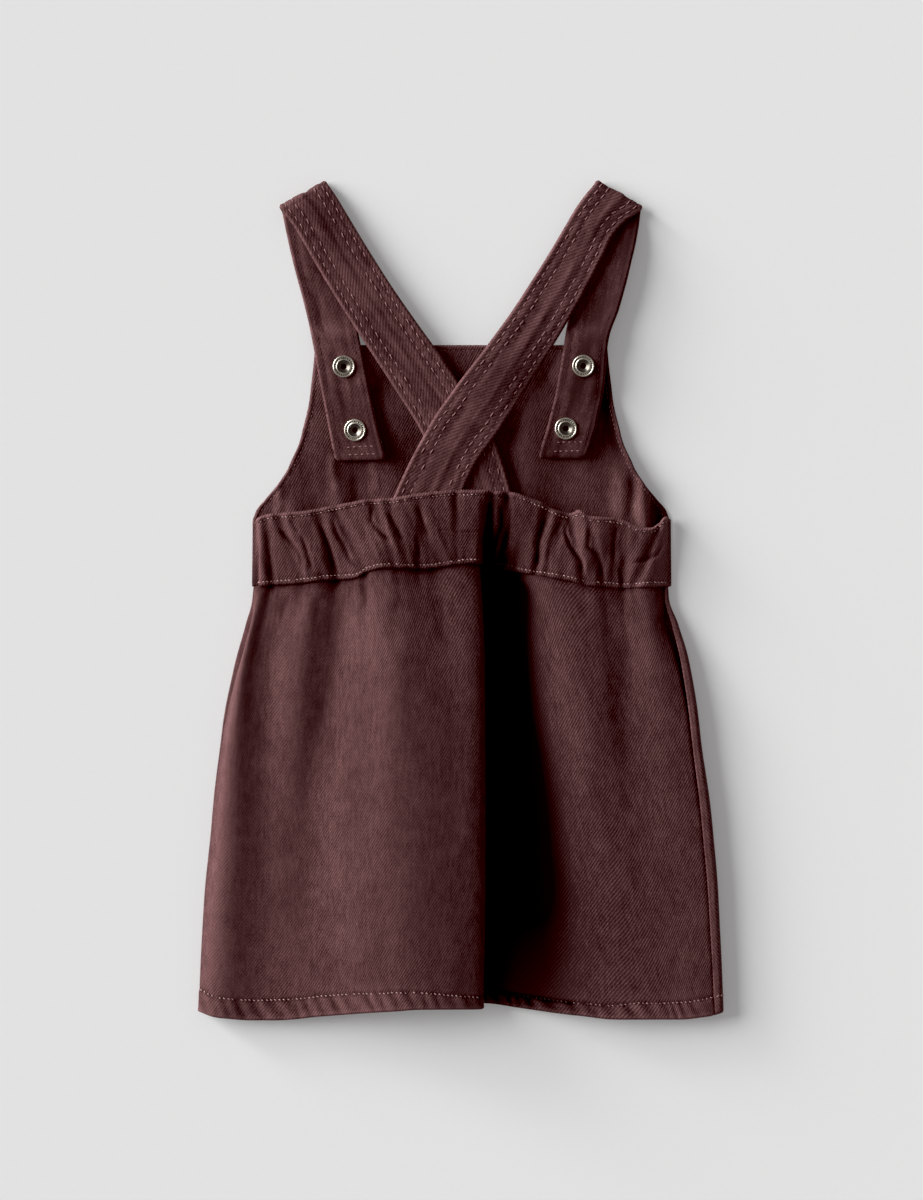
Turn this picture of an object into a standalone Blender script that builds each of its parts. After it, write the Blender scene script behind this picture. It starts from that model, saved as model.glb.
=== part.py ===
"""Child's pinafore dress in cotton twill, laid flat with its back up.

X runs across the dress, Y from the hem to the shoulders, and Z up off the table.
Sizes and tables are in millimetres. Each cloth piece is a wall of even thickness
about a grid of middle points: the rows run down the dress, the columns across it.
"""

import math

import bpy
import numpy as np

MM = 0.001

# Cloth and seams
SEAM_GAP = 0.3
FACET_EASE = 0.3      # more room where a curved seam is cut into short straight edges
CLOTH = 1.3           # single twill, with its seams
FRONT_CLOTH = 1.5     # twill with turned edges
BAND_CLOTH = 2.4      # casing and elastic
STRAP_CLOTH = 2.4     # two layers and their turnings

# Front panel, which lies on the table
BIB_TOP = 164.9
WAIST_SEAM = 8.2
FRONT_HEM_SHORT = 2.0
FRONT_HEM_BLEND = -60.0   # right of this x its hem leaves the left hem line, and at 0 it is on the right one
SIDE_ROLL_X = 150.0       # beyond this x the front panel's hem is the back's
SIDE_ROLL_WIDTH = 20.0

# Grid spacing
COLUMN = 8.0
SKIRT_ROWS = 13
ROW_CROWDING = 1.15   # above 1, the rows stand closer near the waist
BAND_COLUMNS = 88
BAND_ROWS = 6
BIB_COLUMNS = 28
BIB_ROWS = 18
STRAP_COLUMNS = 4
STRAP_FRONT_ROWS = 15
STRAP_BACK_ROWS = 17
FOLD_ROWS = 6

# Snap fasteners
SNAP_RADIUS = 7.3
SNAP_SIDES = 20
SNAP_PROFILE = (
    # radius, height
    (2.0, 0.0),
    (7.0, 0.0),
    (7.3, 0.5),
    (7.1, 1.2),
    (6.5, 1.65),
    (5.6, 0.8),
    (4.6, 1.45),
    (3.2, 0.8),
    (2.0, 0.5),
)
BUTTON_RADIUS = 8.0
BUTTON_HEIGHT = 2.0
BUTTON_EDGE = 0.5
BUTTON_SIDES = 24
BUTTON_HUMP = 2.7     # how far the bib rises over a button
BUTTON_FLAT = 13.0
BUTTON_SLOPE = 29.0

# Where the folds of the front panel run out
RISE_FROM_Y = -24.0
RISE_FULL_Y = 0.0
RISE_TO_X = 131.0
RISE_FADE_X = 12.0


def table(header, *rows):
    """A small table as a dictionary from column name to values."""
    return {name: np.array(values, float) for name, values in zip(header.split(), zip(*rows))}


# Half width of the front panel above the waist: bib, armhole curve and side
BIB_EDGE = table(
    "y     half_width",
    (164.9, 94.3),
    (141.4, 96.7),
    (111.6, 102.2),
    (90.0, 110.0),
    (77.8, 116.6),
    (64.8, 127.0),
    (55.1, 133.7),
    (49.2, 135.0),
    (8.0, 134.2),
)

# Soft folds that lift the front panel off the table
BIB_FOLDS = (
    # x_top, y_top, x_low, y_low, height, half_width
    (-112.0, 74.0, -106.0, 12.0, 2.6, 7.0),
    (-78.0, 88.0, -84.0, 12.0, 2.4, 8.0),
    (-40.0, 150.0, -52.0, 20.0, 3.0, 13.0),
    (18.0, 158.0, 12.0, 34.0, 2.2, 13.0),
    (46.0, 160.0, 40.0, 34.0, 2.8, 12.0),
    (103.0, 104.0, 104.0, 12.0, 2.6, 7.0),
    (117.0, 72.0, 119.0, 12.0, 3.0, 5.5),
    (99.0, 150.0, 128.0, 42.0, 4.5, 9.0),
    (80.0, 240.0, 120.0, 40.0, 2.4, 10.0),
)

# Elastic waistband: its two edges, and the height of its top edge
BAND = table(
    "x      top_y  bottom_y top_z",
    (-135.0, 49.3, 8.9, 3.5),
    (-130.5, 53.0, 9.1, 8.0),
    (-120.0, 55.3, 9.8, 9.5),
    (-103.0, 56.6, 10.9, 12.0),
    (-88.0, 59.2, 12.8, 12.5),
    (-70.0, 62.6, 13.8, 14.5),
    (-60.0, 64.3, 18.4, 15.5),
    (-47.0, 64.9, 20.6, 17.0),
    (-26.0, 68.2, 20.0, 18.0),
    (8.0, 70.2, 23.7, 18.5),
    (27.0, 69.3, 20.3, 16.0),
    (50.0, 63.3, 15.6, 15.5),
    (71.4, 55.4, 12.2, 14.0),
    (76.0, 57.4, 10.8, 16.0),
    (84.0, 53.4, 9.1, 17.5),
    (97.0, 52.4, 8.2, 15.0),
    (107.0, 50.0, 7.6, 14.0),
    (121.0, 45.8, 8.6, 12.5),
    (128.6, 49.3, 8.8, 10.5),
    (132.5, 52.9, 8.9, 8.0),
    (135.7, 51.8, 9.0, 3.5),
)

# Grooves between the gathers of the waistband
GATHERS = (
    # x_top, x_bottom, depth_top, depth_bottom, half_width
    (-127.0, -123.0, 1.2, 1.8, 2.8),
    (-119.0, -103.0, 1.6, 1.3, 3.2),
    (-93.0, -81.0, 1.2, 1.4, 2.6),
    (-83.0, -62.0, 1.7, 1.9, 3.2),
    (-58.0, -42.0, 2.0, 1.0, 3.2),
    (-48.0, -34.0, 1.6, 0.8, 2.8),
    (-30.0, -19.0, 1.0, 0.7, 3.0),
    (-25.0, -28.0, 0.2, 0.9, 2.6),
    (-3.5, -2.0, 2.0, 0.4, 2.6),
    (20.0, 18.0, 2.2, 0.8, 2.8),
    (30.0, 26.0, 2.4, 0.8, 2.8),
    (56.0, 48.0, 1.5, 1.7, 3.0),
    (66.0, 55.0, 1.1, 1.2, 3.0),
    (69.0, 79.0, 1.9, 1.3, 2.8),
    (82.0, 92.0, 1.0, 1.3, 2.8),
    (101.0, 99.0, 1.1, 0.9, 2.8),
    (105.0, 105.0, 0.3, 2.2, 2.6),
    (128.0, 112.0, 2.6, 1.6, 3.4),
)
GATHER_FADE = 26.0    # how far below the band the gathers run into the skirt
GATHER_SHARE = 0.8    # how deep they are in the skirt, as a share of their depth in the band

# Outline of the skirt, and the side seam on its right
SIDES = table(
    "y      left_x  right_x seam_x seam_z",
    (24.0, -134.5, 134.7, 131.8, 4.0),
    (6.0, -135.2, 134.7, 131.8, 4.2),
    (-15.5, -139.9, 140.9, 136.5, 6.0),
    (-46.5, -148.2, 149.4, 143.6, 8.6),
    (-96.0, -156.7, 156.4, 150.1, 10.0),
    (-155.0, -163.0, 164.0, 156.8, 10.0),
    (-213.0, -168.0, 168.0, 161.2, 9.8),
    (-268.0, -170.4, 170.4, 164.0, 9.2),
)
STATIONS = (24.0, -55.0, -165.0, -268.0)

# Folds of the back skirt, as control points of its section, from left to right
FOLDS = table(
    "x_waist x_upper x_lower x_hem  z_waist z_upper z_lower z_hem",
    (-130.0, -146.0, -155.0, -160.0, 8.5, 12.0, 13.5, 11.2),   # rim
    (-121.0, -133.0, -131.0, -138.0, 7.2, 6.8, 7.6, 7.4),      # hollow beside the rim
    (-99.0, -108.0, -110.0, -109.0, 14.2, 13.0, 9.4, 9.6),     # flank ridge
    (-80.0, -89.0, -93.0, -92.0, 9.6, 8.4, 11.6, 12.4),        # flank dip
    (-66.0, -68.0, -72.0, -68.0, 16.0, 19.5, 21.5, 18.6),      # shoulder
    (-48.0, -43.0, -44.0, -44.0, 20.0, 26.0, 27.5, 25.0),      # crest of the great fold
    (-25.0, -12.0, -10.0, -10.0, 14.5, 19.0, 22.5, 21.5),
    (-2.0, 6.5, 7.0, 6.0, 18.0, 18.0, 18.6, 18.0),
    (10.0, 14.9, 15.2, 13.6, 17.0, 15.2, 15.2, 14.5),          # lip
    (12.5, 14.9, 15.2, 13.6, 14.0, 9.2, 8.8, 8.6),
    (13.8, 5.0, 3.0, 3.0, 11.6, 7.4, 7.2, 7.0),                # return under the lip
    (14.6, -8.0, -12.0, -11.0, 9.8, 7.1, 7.0, 6.9),
    (15.4, -17.0, -21.0, -20.0, 8.4, 7.0, 6.9, 6.8),           # turn
    (16.4, -17.0, -21.0, -20.0, 7.2, 3.0, 3.0, 3.0),
    (18.0, -8.0, -12.0, -11.0, 6.2, 3.0, 3.0, 3.0),            # floor of the valley
    (26.0, 28.0, 30.0, 28.0, 5.6, 3.2, 3.1, 3.1),
    (34.0, 41.0, 47.0, 46.0, 7.5, 6.0, 5.6, 4.8),              # foot of the right slope
    (45.0, 56.0, 65.0, 70.0, 13.5, 13.0, 12.0, 10.2),
    (60.0, 75.0, 86.0, 95.0, 15.5, 15.8, 14.6, 12.6),          # right ridge
    (84.0, 91.0, 105.0, 118.0, 13.5, 14.2, 13.2, 11.8),
    (100.0, 105.0, 119.0, 134.0, 9.0, 10.0, 11.2, 11.0),       # slanting dip
    (118.0, 127.0, 140.0, 150.0, 12.5, 12.0, 11.0, 10.6),      # outer ridge
)

# Places along the control points: three lead in before the first fold
LIP = 11
TURN = 15
RIGHT_RIDGE = 21
EDGE_PLACES = 2       # within these places of either side the cloth is quite smooth

# Left edge of the back skirt: control points (x, z) from its foot, where it rests on the front
LEFT_EDGE = ((3.0, 0.0), (0.45, 0.6), (0.65, 4.0))

# Hem line of the great fold, and of the cloth to the right of its lip
HEM_LEFT = table(
    "x      y",
    (-170.0, -267.0),
    (-154.6, -271.0),
    (-126.4, -272.4),
    (-91.1, -269.6),
    (-41.7, -265.6),
    (-20.9, -264.6),
    (14.0, -264.9),
)
HEM_RIGHT = table(
    "x      y",
    (-20.0, -260.5),
    (13.0, -261.5),
    (35.9, -264.3),
    (79.5, -269.6),
    (107.8, -271.7),
    (135.7, -271.7),
    (156.9, -270.3),
    (170.0, -267.2),
)

# Straps: the front part lies inside the bib, the back part runs to the waistband
STRAP_LEFT_FRONT = (
    # left_x, left_y, right_x, right_y, left_lift, right_lift
    (-81.3, 90.6, -49.6, 91.3, 0.2, 5.5),
    (-87.0, 120.9, -57.3, 122.3, 0.0, 4.5),
    (-92.6, 150.6, -63.0, 150.6, 0.0, 2.0),
    (-95.7, 167.5, -66.5, 167.5, 0.0, 0.4),
    (-101.7, 194.2, -71.6, 194.2, 0.0, 0.0),
    (-108.1, 218.2, -77.5, 221.0, 0.0, 0.0),
)
STRAP_LEFT_FOLD = ((-117.8, 256.2), (-89.0, 272.2))
STRAP_LEFT_BACK = (
    # left_x, left_y, right_x, right_y, left_z, right_z
    (-109.5, 244.9, -82.1, 261.8, 8.6, 5.4),
    (-87.0, 206.9, -59.3, 224.0, 8.5, 4.8),
    (-60.2, 164.6, -31.3, 181.8, 8.2, 8.4),
    (-41.9, 136.4, -11.8, 154.5, 8.6, 8.6),
    (-23.5, 106.1, 7.0, 125.3, 8.6, 8.6),
    (-13.0, 84.0, 20.0, 104.0, 8.6, 9.2),
    (-6.0, 62.0, 34.0, 62.0, 9.2, 10.8),
)
STRAP_RIGHT_FRONT = (
    (50.5, 92.4, 80.5, 92.4, 1.0, 3.4),
    (58.6, 119.4, 88.4, 119.4, 0.8, 3.6),
    (64.2, 144.9, 92.5, 144.9, 0.2, 3.2),
    (67.5, 165.3, 94.3, 165.3, 0.0, 3.6),
    (71.4, 188.3, 101.6, 188.3, 0.0, 5.5),
    (73.6, 200.0, 104.6, 200.0, 0.0, 4.5),
    (76.0, 213.0, 108.2, 213.0, 0.0, 0.0),
    (77.2, 219.5, 109.7, 219.5, 0.0, 0.0),
)
STRAP_RIGHT_FOLD = ((88.9, 272.4), (117.5, 255.9))
STRAP_RIGHT_BACK = (
    (77.2, 256.6, 100.0, 239.7, 8.4, 8.4),
    (66.9, 239.7, 90.3, 221.7, 8.4, 8.4),
    (45.9, 205.5, 70.7, 185.1, 7.6, 5.2),
    (17.7, 164.6, 45.3, 144.1, 10.4, 7.0),
    (-6.2, 132.9, 23.9, 110.3, 12.2, 12.0),
    (-24.6, 104.0, 5.9, 83.0, 12.4, 12.4),
    (-45.6, 60.9, -2.7, 60.9, 12.2, 12.8),
)
SHOULDER_LOW = STRAP_CLOTH / 2
STRAP_LEFT_SHOULDER = (8.6, 5.4)      # height of the back part at the fold, at its left and right edge
STRAP_RIGHT_SHOULDER = (8.4, 8.4)
EDGE_DROOP = 3.0                      # how late across its width a strap bends down to its right edge

# Places across the front skirt: wide over its flat part, close over the roll at its right side
FRONT_PLACES = np.concatenate([np.linspace(0, 3, 16), np.linspace(3, 6, 13)[1:]])

SNAPS = {
    "snap_left_upper": (-76.1, 151.2),
    "snap_left_lower": (-68.8, 110.0),
    "snap_right_upper": (79.3, 151.6),
    "snap_right_lower": (68.0, 111.0),
}
BUTTONS = {
    "front_button_left": (-76.1, 151.2),
    "front_button_right": (79.3, 151.6),
}


def smooth(at, keys, values):
    """Monotone cubic through (keys, values), level beyond its ends."""
    order = np.argsort(keys)
    keys = np.asarray(keys, float)[order]
    values = np.asarray(values, float)[order]
    at = np.clip(at, keys[0], keys[-1])
    step = np.diff(keys)
    rise = np.diff(values) / step
    product = rise[:-1] * rise[1:]
    total = np.where(product > 0, rise[:-1] + rise[1:], 1.0)
    inner = np.where(product > 0, 2 * product / total, 0.0)
    slope = np.concatenate([rise[:1], inner, rise[-1:]])
    i = np.clip(np.searchsorted(keys, at, side="right") - 1, 0, len(step) - 1)
    t = (at - keys[i]) / step[i]
    start = values[i] + step[i] * slope[i] * t
    end = values[i + 1] - step[i] * slope[i + 1] * (1 - t)
    blend = t * t * (3 - 2 * t)
    return start * (1 - blend) + end * blend


def ease(t):
    """Soft step from 0 to 1."""
    t = np.clip(t, 0.0, 1.0)
    return t * t * (3 - 2 * t)


def bspline(controls, at):
    """Quadratic B-spline that starts and ends on its first and last control point."""
    controls = np.asarray(controls, float)
    ends = 2 * controls[[0, -1]] - controls[[1, -2]]
    padded = np.concatenate([ends[:1], controls, ends[1:]])
    i = np.clip(np.floor(at + 0.5).astype(int), 0, len(controls) - 1)
    t = (at + 0.5 - i)[:, None]
    before, here, after = padded[i], padded[i + 1], padded[i + 2]
    return (before * (1 - t) ** 2 + here * (1 + 2 * t - 2 * t * t) + after * t * t) / 2


def front_rise(x, y):
    """How far the folds and the buttons lift the front panel off the table."""
    lift = np.zeros(np.broadcast(x, y).shape)
    for x_top, y_top, x_low, y_low, height, half_width in BIB_FOLDS:
        along = (y - y_low) / (y_top - y_low)
        centre = x_low + (x_top - x_low) * along
        fade = ease(1 + 3 * along) * ease(3 * (1 - along))
        lift = lift + height * fade * np.exp(-(((x - centre) / half_width) ** 2))
    lift = lift * ease((y - RISE_FROM_Y) / (RISE_FULL_Y - RISE_FROM_Y))
    lift = lift * ease((RISE_TO_X - abs(x)) / RISE_FADE_X)
    for button_x, button_y in BUTTONS.values():
        away = np.hypot(x - button_x, y - button_y)
        hump = BUTTON_HUMP * ease((BUTTON_SLOPE - away) / (BUTTON_SLOPE - BUTTON_FLAT))
        lift = np.maximum(lift, hump)
    return lift


def laid_on_front(x, y):
    """Middle height of a strap that lies on the front panel, or on the table above its top edge."""
    on_bib = front_rise(x, np.minimum(y, BIB_TOP)) + FRONT_CLOTH + SEAM_GAP + FACET_EASE
    return STRAP_CLOTH / 2 + on_bib * (1 - ease((y - BIB_TOP - 4) / 14))


def gather(x, down):
    """Depth of the gathers: down is 0 at the waistband's top edge and 1 at its seam."""
    drop = np.zeros(np.broadcast(x, down).shape)
    for x_top, x_bottom, depth_top, depth_bottom, half_width in GATHERS:
        centre = x_top + (x_bottom - x_top) * down
        depth = depth_top + (depth_bottom - depth_top) * np.clip(down, 0, 1)
        drop = drop + depth * np.exp(-(((x - centre) / half_width) ** 2))
    return drop


def skirt_section(y):
    """Control points (x, z) of the back skirt's section at height y, from side seam to side seam."""
    left = smooth(y, SIDES["y"], SIDES["left_x"])
    seam_x = smooth(y, SIDES["y"], SIDES["seam_x"])
    seam_z = smooth(y, SIDES["y"], SIDES["seam_z"])
    rest = FRONT_CLOTH + SEAM_GAP + CLOTH / 2
    controls = [(left + inward, rest + up) for inward, up in LEFT_EDGE]
    xs = [FOLDS[name] for name in ("x_waist", "x_upper", "x_lower", "x_hem")]
    zs = [FOLDS[name] for name in ("z_waist", "z_upper", "z_lower", "z_hem")]
    for fold in range(len(FOLDS["x_waist"])):
        x = smooth(y, STATIONS, [station[fold] for station in xs])
        z = smooth(y, STATIONS, [station[fold] for station in zs])
        controls.append((x, z))
    controls.append((seam_x, seam_z))
    return np.array(controls)


def section_columns(controls, spacing):
    """Places along the control points, about one for each spacing, two or more for each span."""
    spans = np.linalg.norm(np.diff(controls, axis=0), axis=1)
    places = [0.0]
    for index, span in enumerate(spans):
        steps = max(2, round(span / spacing))
        places.extend(index + (step + 1) / steps for step in range(steps))
    return np.array(places)


def skirt_back_points(rows, spacing):
    """Middle points of the back skirt, and how far below the waist seam each lies."""
    places = section_columns(skirt_section(STATIONS[2]), spacing)
    waist_x = bspline(skirt_section(STATIONS[0]), places)[:, 0]
    hem_x = bspline(skirt_section(STATIONS[-1]), places)[:, 0]
    past_lip = ease((places - LIP) / (TURN - LIP))
    top_y = smooth(waist_x, BAND["x"], BAND["bottom_y"]) - SEAM_GAP / 2 - FACET_EASE
    hem_left = smooth(hem_x, HEM_LEFT["x"], HEM_LEFT["y"])
    hem_right = smooth(hem_x, HEM_RIGHT["x"], HEM_RIGHT["y"])
    hem_y = hem_left * (1 - past_lip) + hem_right * past_lip
    points = np.zeros((rows + 1, len(places), 3))
    for row in range(rows + 1):
        down = (row / rows) ** ROW_CROWDING
        y = top_y + (hem_y - top_y) * down
        for column, place in enumerate(places):
            controls = skirt_section(y[column] + (STATIONS[0] - top_y[column]) * (1 - down))
            x, z = bspline(controls, np.array([place]))[0]
            points[row, column] = x, y[column], z
    below = top_y - points[:, :, 1]
    edges = ease(places / EDGE_PLACES - 1) * ease((places[-1] - places) / EDGE_PLACES)
    facing_up = 1 - ease((places - LIP + 2) / 2) * (1 - ease((places - RIGHT_RIDGE) / 2))
    ripple = gather(points[0, :, 0], 1.0) * np.exp(-below / GATHER_FADE)
    points[:, :, 2] -= GATHER_SHARE * ripple * edges * facing_up
    return points


def skirt_front_points(rows):
    """Middle points of the front skirt: flat on the table, rolled up to the seam on its right."""
    flat = FRONT_CLOTH / 2
    points = []
    for row in range(rows + 1):
        down = row / rows
        guess = WAIST_SEAM - SEAM_GAP + (STATIONS[-1] - WAIST_SEAM) * down
        left, right, seam_x, seam_z = (
            smooth(guess, SIDES["y"], SIDES[name]) for name in ("left_x", "right_x", "seam_x", "seam_z")
        )
        controls = np.array([
            (left + 0.5, flat),
            (left * 0.7 + right * 0.3, flat),
            (left * 0.35 + right * 0.65, flat),
            (right - 12.0, flat),
            (right - flat, flat),
            (right - flat, seam_z + 0.3),
            (seam_x + SEAM_GAP + FACET_EASE, seam_z),
        ])
        section = bspline(controls, FRONT_PLACES)
        hem_left = smooth(section[:, 0], HEM_LEFT["x"], HEM_LEFT["y"])
        hem_right = smooth(section[:, 0], HEM_RIGHT["x"], HEM_RIGHT["y"])
        right_share = ease(1 - section[:, 0] / FRONT_HEM_BLEND)
        hem = hem_left * (1 - right_share) + hem_right * right_share
        hem += FRONT_HEM_SHORT * ease((SIDE_ROLL_X - section[:, 0]) / SIDE_ROLL_WIDTH)
        y = WAIST_SEAM - SEAM_GAP + (hem - WAIST_SEAM + SEAM_GAP) * down
        lift = front_rise(section[:, 0], y) * (section[:, 1] < 2)
        points.append(np.stack([section[:, 0], y, section[:, 1] + lift], axis=1))
    return np.array(points)


def bib_points(rows, columns):
    """Middle points of the front panel above the waist."""
    points = np.zeros((rows + 1, columns + 1, 3))
    for row in range(rows + 1):
        y = BIB_TOP + (WAIST_SEAM - BIB_TOP) * row / rows
        half = smooth(y, BIB_EDGE["y"], BIB_EDGE["half_width"])
        x = np.linspace(-half, half, columns + 1)
        points[row] = np.stack([x, np.full_like(x, y), front_rise(x, y) + FRONT_CLOTH / 2], axis=1)
    return points


def band_points(rows, columns):
    """Middle points of the elastic waistband."""
    waist = bspline(skirt_section(STATIONS[0]), np.linspace(0, len(FOLDS["x_waist"]) + 3, 200))
    thicker = (BAND_CLOTH - CLOTH) / 2
    x = np.linspace(BAND["x"][0], BAND["x"][-1], columns + 1)
    seam_z = np.interp(x, [*waist[:, 0], BAND["x"][-1]], [*waist[:, 1], waist[0, 1]]) + thicker
    top_y = smooth(x, BAND["x"], BAND["top_y"])
    bottom_y = smooth(x, BAND["x"], BAND["bottom_y"]) + SEAM_GAP / 2
    top_z = smooth(x, BAND["x"], BAND["top_z"])
    edges = ease((x - x[0]) / 8) * ease((x[-1] - x) / 8)
    points = np.zeros((rows + 1, columns + 1, 3))
    for row in range(rows + 1):
        down = row / rows
        y = top_y + (bottom_y - top_y) * down
        z = top_z + (seam_z - top_z) * ease(down) - gather(x, down) * edges
        points[row] = np.stack([x, y, z], axis=1)
    return points


def along_rails(rows, count):
    """The columns of a table read smoothly at count + 1 even places."""
    rows = np.asarray(rows, float)
    keys = np.arange(len(rows))
    at = np.linspace(0, len(rows) - 1, count + 1)
    return np.stack([smooth(at, keys, rows[:, column]) for column in range(rows.shape[1])], axis=1)


def between(rails, droop=1.0):
    """A grid of (x, y, height) between the two rails of each row."""
    share = np.linspace(0, 1, STRAP_COLUMNS + 1)
    shares = np.stack([share, share, share**droop], axis=1)
    left = rails[:, None, [0, 1, 4]]
    right = rails[:, None, [2, 3, 5]]
    return left + (right - left) * shares[None]


def strap_points(front, fold, back, shoulder):
    """Middle points of a strap from its free front end, over the shoulder fold, to the waistband."""
    corners = np.array(fold)
    direction = (corners[1] - corners[0]) / np.linalg.norm(corners[1] - corners[0])
    outward = np.array([-direction[1], direction[0]])
    radius = (np.array(shoulder) - SHOULDER_LOW) / 2
    hinge = corners - outward * (radius + STRAP_CLOTH / 2)[:, None]
    front_rows = [*front, (*hinge[0], *hinge[1], 0.0, 0.0)]
    lying = between(along_rails(front_rows, STRAP_FRONT_ROWS))
    lying[:, :, 2] += laid_on_front(lying[:, :, 0], lying[:, :, 1])
    turns = []
    for turn in range(1, FOLD_ROWS):
        angle = math.pi * (turn / FOLD_ROWS - 0.5)
        rail = hinge + outward * radius[:, None] * math.cos(angle)
        height = SHOULDER_LOW + radius + radius * math.sin(angle)
        turns.append((*rail[0], *rail[1], *height))
    turning = between(np.array(turns), EDGE_DROOP)
    back_rows = [(*hinge[0], *hinge[1], *shoulder), *back]
    hanging = between(along_rails(back_rows, STRAP_BACK_ROWS), EDGE_DROOP)
    return np.concatenate([lying, turning, hanging])


def make_material(name, colour, roughness, metallic=0.0):
    """A plain Principled finish."""
    material = bpy.data.materials.new(name)
    material.use_nodes = True
    shader = material.node_tree.nodes["Principled BSDF"]
    shader.inputs["Base Color"].default_value = (*colour, 1.0)
    shader.inputs["Roughness"].default_value = roughness
    shader.inputs["Metallic"].default_value = metallic
    return material


def make_object(name, points, faces, material):
    """A smooth-shaded mesh object from points in millimetres."""
    mesh = bpy.data.meshes.new(name)
    mesh.from_pydata((np.asarray(points) * MM).tolist(), [], faces)
    mesh.materials.append(material)
    mesh.shade_smooth()
    mesh.set_sharp_from_angle(angle=math.radians(50))
    thing = bpy.data.objects.new(name, mesh)
    bpy.context.scene.collection.objects.link(thing)
    return thing


def normals_of(middle):
    """Unit normal at each point of a grid, up where the cloth lies face up, and square to Y at its ends."""
    normal = np.cross(np.gradient(middle, axis=0), np.gradient(middle, axis=1))
    normal[[0, -1], :, 1] = 0.0
    return normal / np.linalg.norm(normal, axis=2, keepdims=True)


def make_wall(name, middle, thickness, material, upright=False):
    """A closed cloth wall about a grid of middle points, cut flat where it meets the table."""
    rows, columns = middle.shape[:2]
    normal = normals_of(middle)
    if upright:
        normal = np.broadcast_to((0.0, 0.0, 1.0), middle.shape)
    faces_of_wall = [middle + normal * thickness / 2, middle - normal * thickness / 2]
    points = np.concatenate([side.reshape(-1, 3) for side in faces_of_wall])
    points[:, 2] = np.maximum(points[:, 2], 0.0)
    under = rows * columns
    faces = []
    for row in range(rows - 1):
        for column in range(columns - 1):
            a = row * columns + column
            b, c, d = a + columns, a + columns + 1, a + 1
            faces.append((a, b, c, d))
            faces.append((a + under, d + under, c + under, b + under))
    border = list(range(columns))
    border += [row * columns + columns - 1 for row in range(1, rows)]
    border += [(rows - 1) * columns + column for column in range(columns - 2, -1, -1)]
    border += [row * columns for row in range(rows - 2, 0, -1)]
    for here, there in zip(border, border[1:] + border[:1]):
        faces.append((here, there, there + under, here + under))
    return make_object(name, points, faces, material)


def make_ring(name, centre, normal, material):
    """A turned metal snap ring: a rolled rim, a track, a raised eyelet and a cone down to its hole."""
    aside = np.cross(normal, (0.0, 1.0, 0.0))
    aside = aside / np.linalg.norm(aside)
    ahead = np.cross(normal, aside)
    points = []
    for side in range(SNAP_SIDES):
        angle = 2 * math.pi * side / SNAP_SIDES
        spoke = aside * math.cos(angle) + ahead * math.sin(angle)
        points.extend(centre + spoke * radius + normal * height for radius, height in SNAP_PROFILE)
    count = len(SNAP_PROFILE)
    faces = []
    for side in range(SNAP_SIDES):
        here, there = side * count, (side + 1) % SNAP_SIDES * count
        for step in range(count):
            ahead_step = (step + 1) % count
            faces.append((here + step, there + step, there + ahead_step, here + ahead_step))
    return make_object(name, points, faces, material)


def make_button(name, x, y, material):
    """A snap button's cap on the outer face of the bib: a flat disc with a rounded edge."""
    bpy.ops.mesh.primitive_cylinder_add(
        vertices=BUTTON_SIDES,
        radius=BUTTON_RADIUS * MM,
        depth=BUTTON_HEIGHT * MM,
        location=(x * MM, y * MM, BUTTON_HEIGHT / 2 * MM),
    )
    button = bpy.context.active_object
    button.name = name
    button.data.materials.append(material)
    edge = button.modifiers.new("rounded edge", "BEVEL")
    edge.width = BUTTON_EDGE * MM
    edge.segments = 2
    edge.limit_method = "ANGLE"
    button.data.shade_smooth()
    button.data.set_sharp_from_angle(angle=math.radians(35))
    return button


def place_on(grid, x, y):
    """Seat of a snap at (x, y) on the middle of a strap's front part, and its upward normal."""
    lying = grid[: STRAP_FRONT_ROWS + 1].reshape(-1, 3)
    away = np.hypot(lying[:, 0] - x, lying[:, 1] - y)
    normals = -normals_of(grid[: STRAP_FRONT_ROWS + 1]).reshape(-1, 3)
    normal = normals[away < 2 * SNAP_RADIUS].mean(axis=0)
    normal /= np.linalg.norm(normal)
    under = lying[away < 1.5 * SNAP_RADIUS]
    highest = (under @ normal).max()
    height = (highest - normal[0] * x - normal[1] * y) / normal[2]
    return np.array([x, y, height]), normal


for thing in list(bpy.data.objects):
    bpy.data.objects.remove(thing, do_unlink=True)

twill = make_material("cotton twill", (0.062, 0.021, 0.022), 0.85)
twill_inside = make_material("cotton twill wrong side", (0.055, 0.020, 0.021), 0.9)
steel = make_material("snap steel", (0.62, 0.60, 0.56), 0.3, 1.0)

make_wall("front_bib", bib_points(BIB_ROWS, BIB_COLUMNS), FRONT_CLOTH, twill_inside, upright=True)
make_wall("front_skirt", skirt_front_points(SKIRT_ROWS), FRONT_CLOTH, twill)
make_wall("back_skirt", skirt_back_points(SKIRT_ROWS, COLUMN), CLOTH, twill)
make_wall("back_waistband", band_points(BAND_ROWS, BAND_COLUMNS), BAND_CLOTH, twill, upright=True)

straps = {
    "left": strap_points(STRAP_LEFT_FRONT, STRAP_LEFT_FOLD, STRAP_LEFT_BACK, STRAP_LEFT_SHOULDER),
    "right": strap_points(STRAP_RIGHT_FRONT, STRAP_RIGHT_FOLD, STRAP_RIGHT_BACK, STRAP_RIGHT_SHOULDER),
}
for side, grid in straps.items():
    make_wall("strap_" + side, grid, STRAP_CLOTH, twill)

for name, (x, y) in SNAPS.items():
    seat, normal = place_on(straps["left" if x < 0 else "right"], x, y)
    make_ring(name, seat + normal * (STRAP_CLOTH / 2 + SEAM_GAP), normal, steel)

for name, (x, y) in BUTTONS.items():
    make_button(name, x, y, steel)
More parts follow.
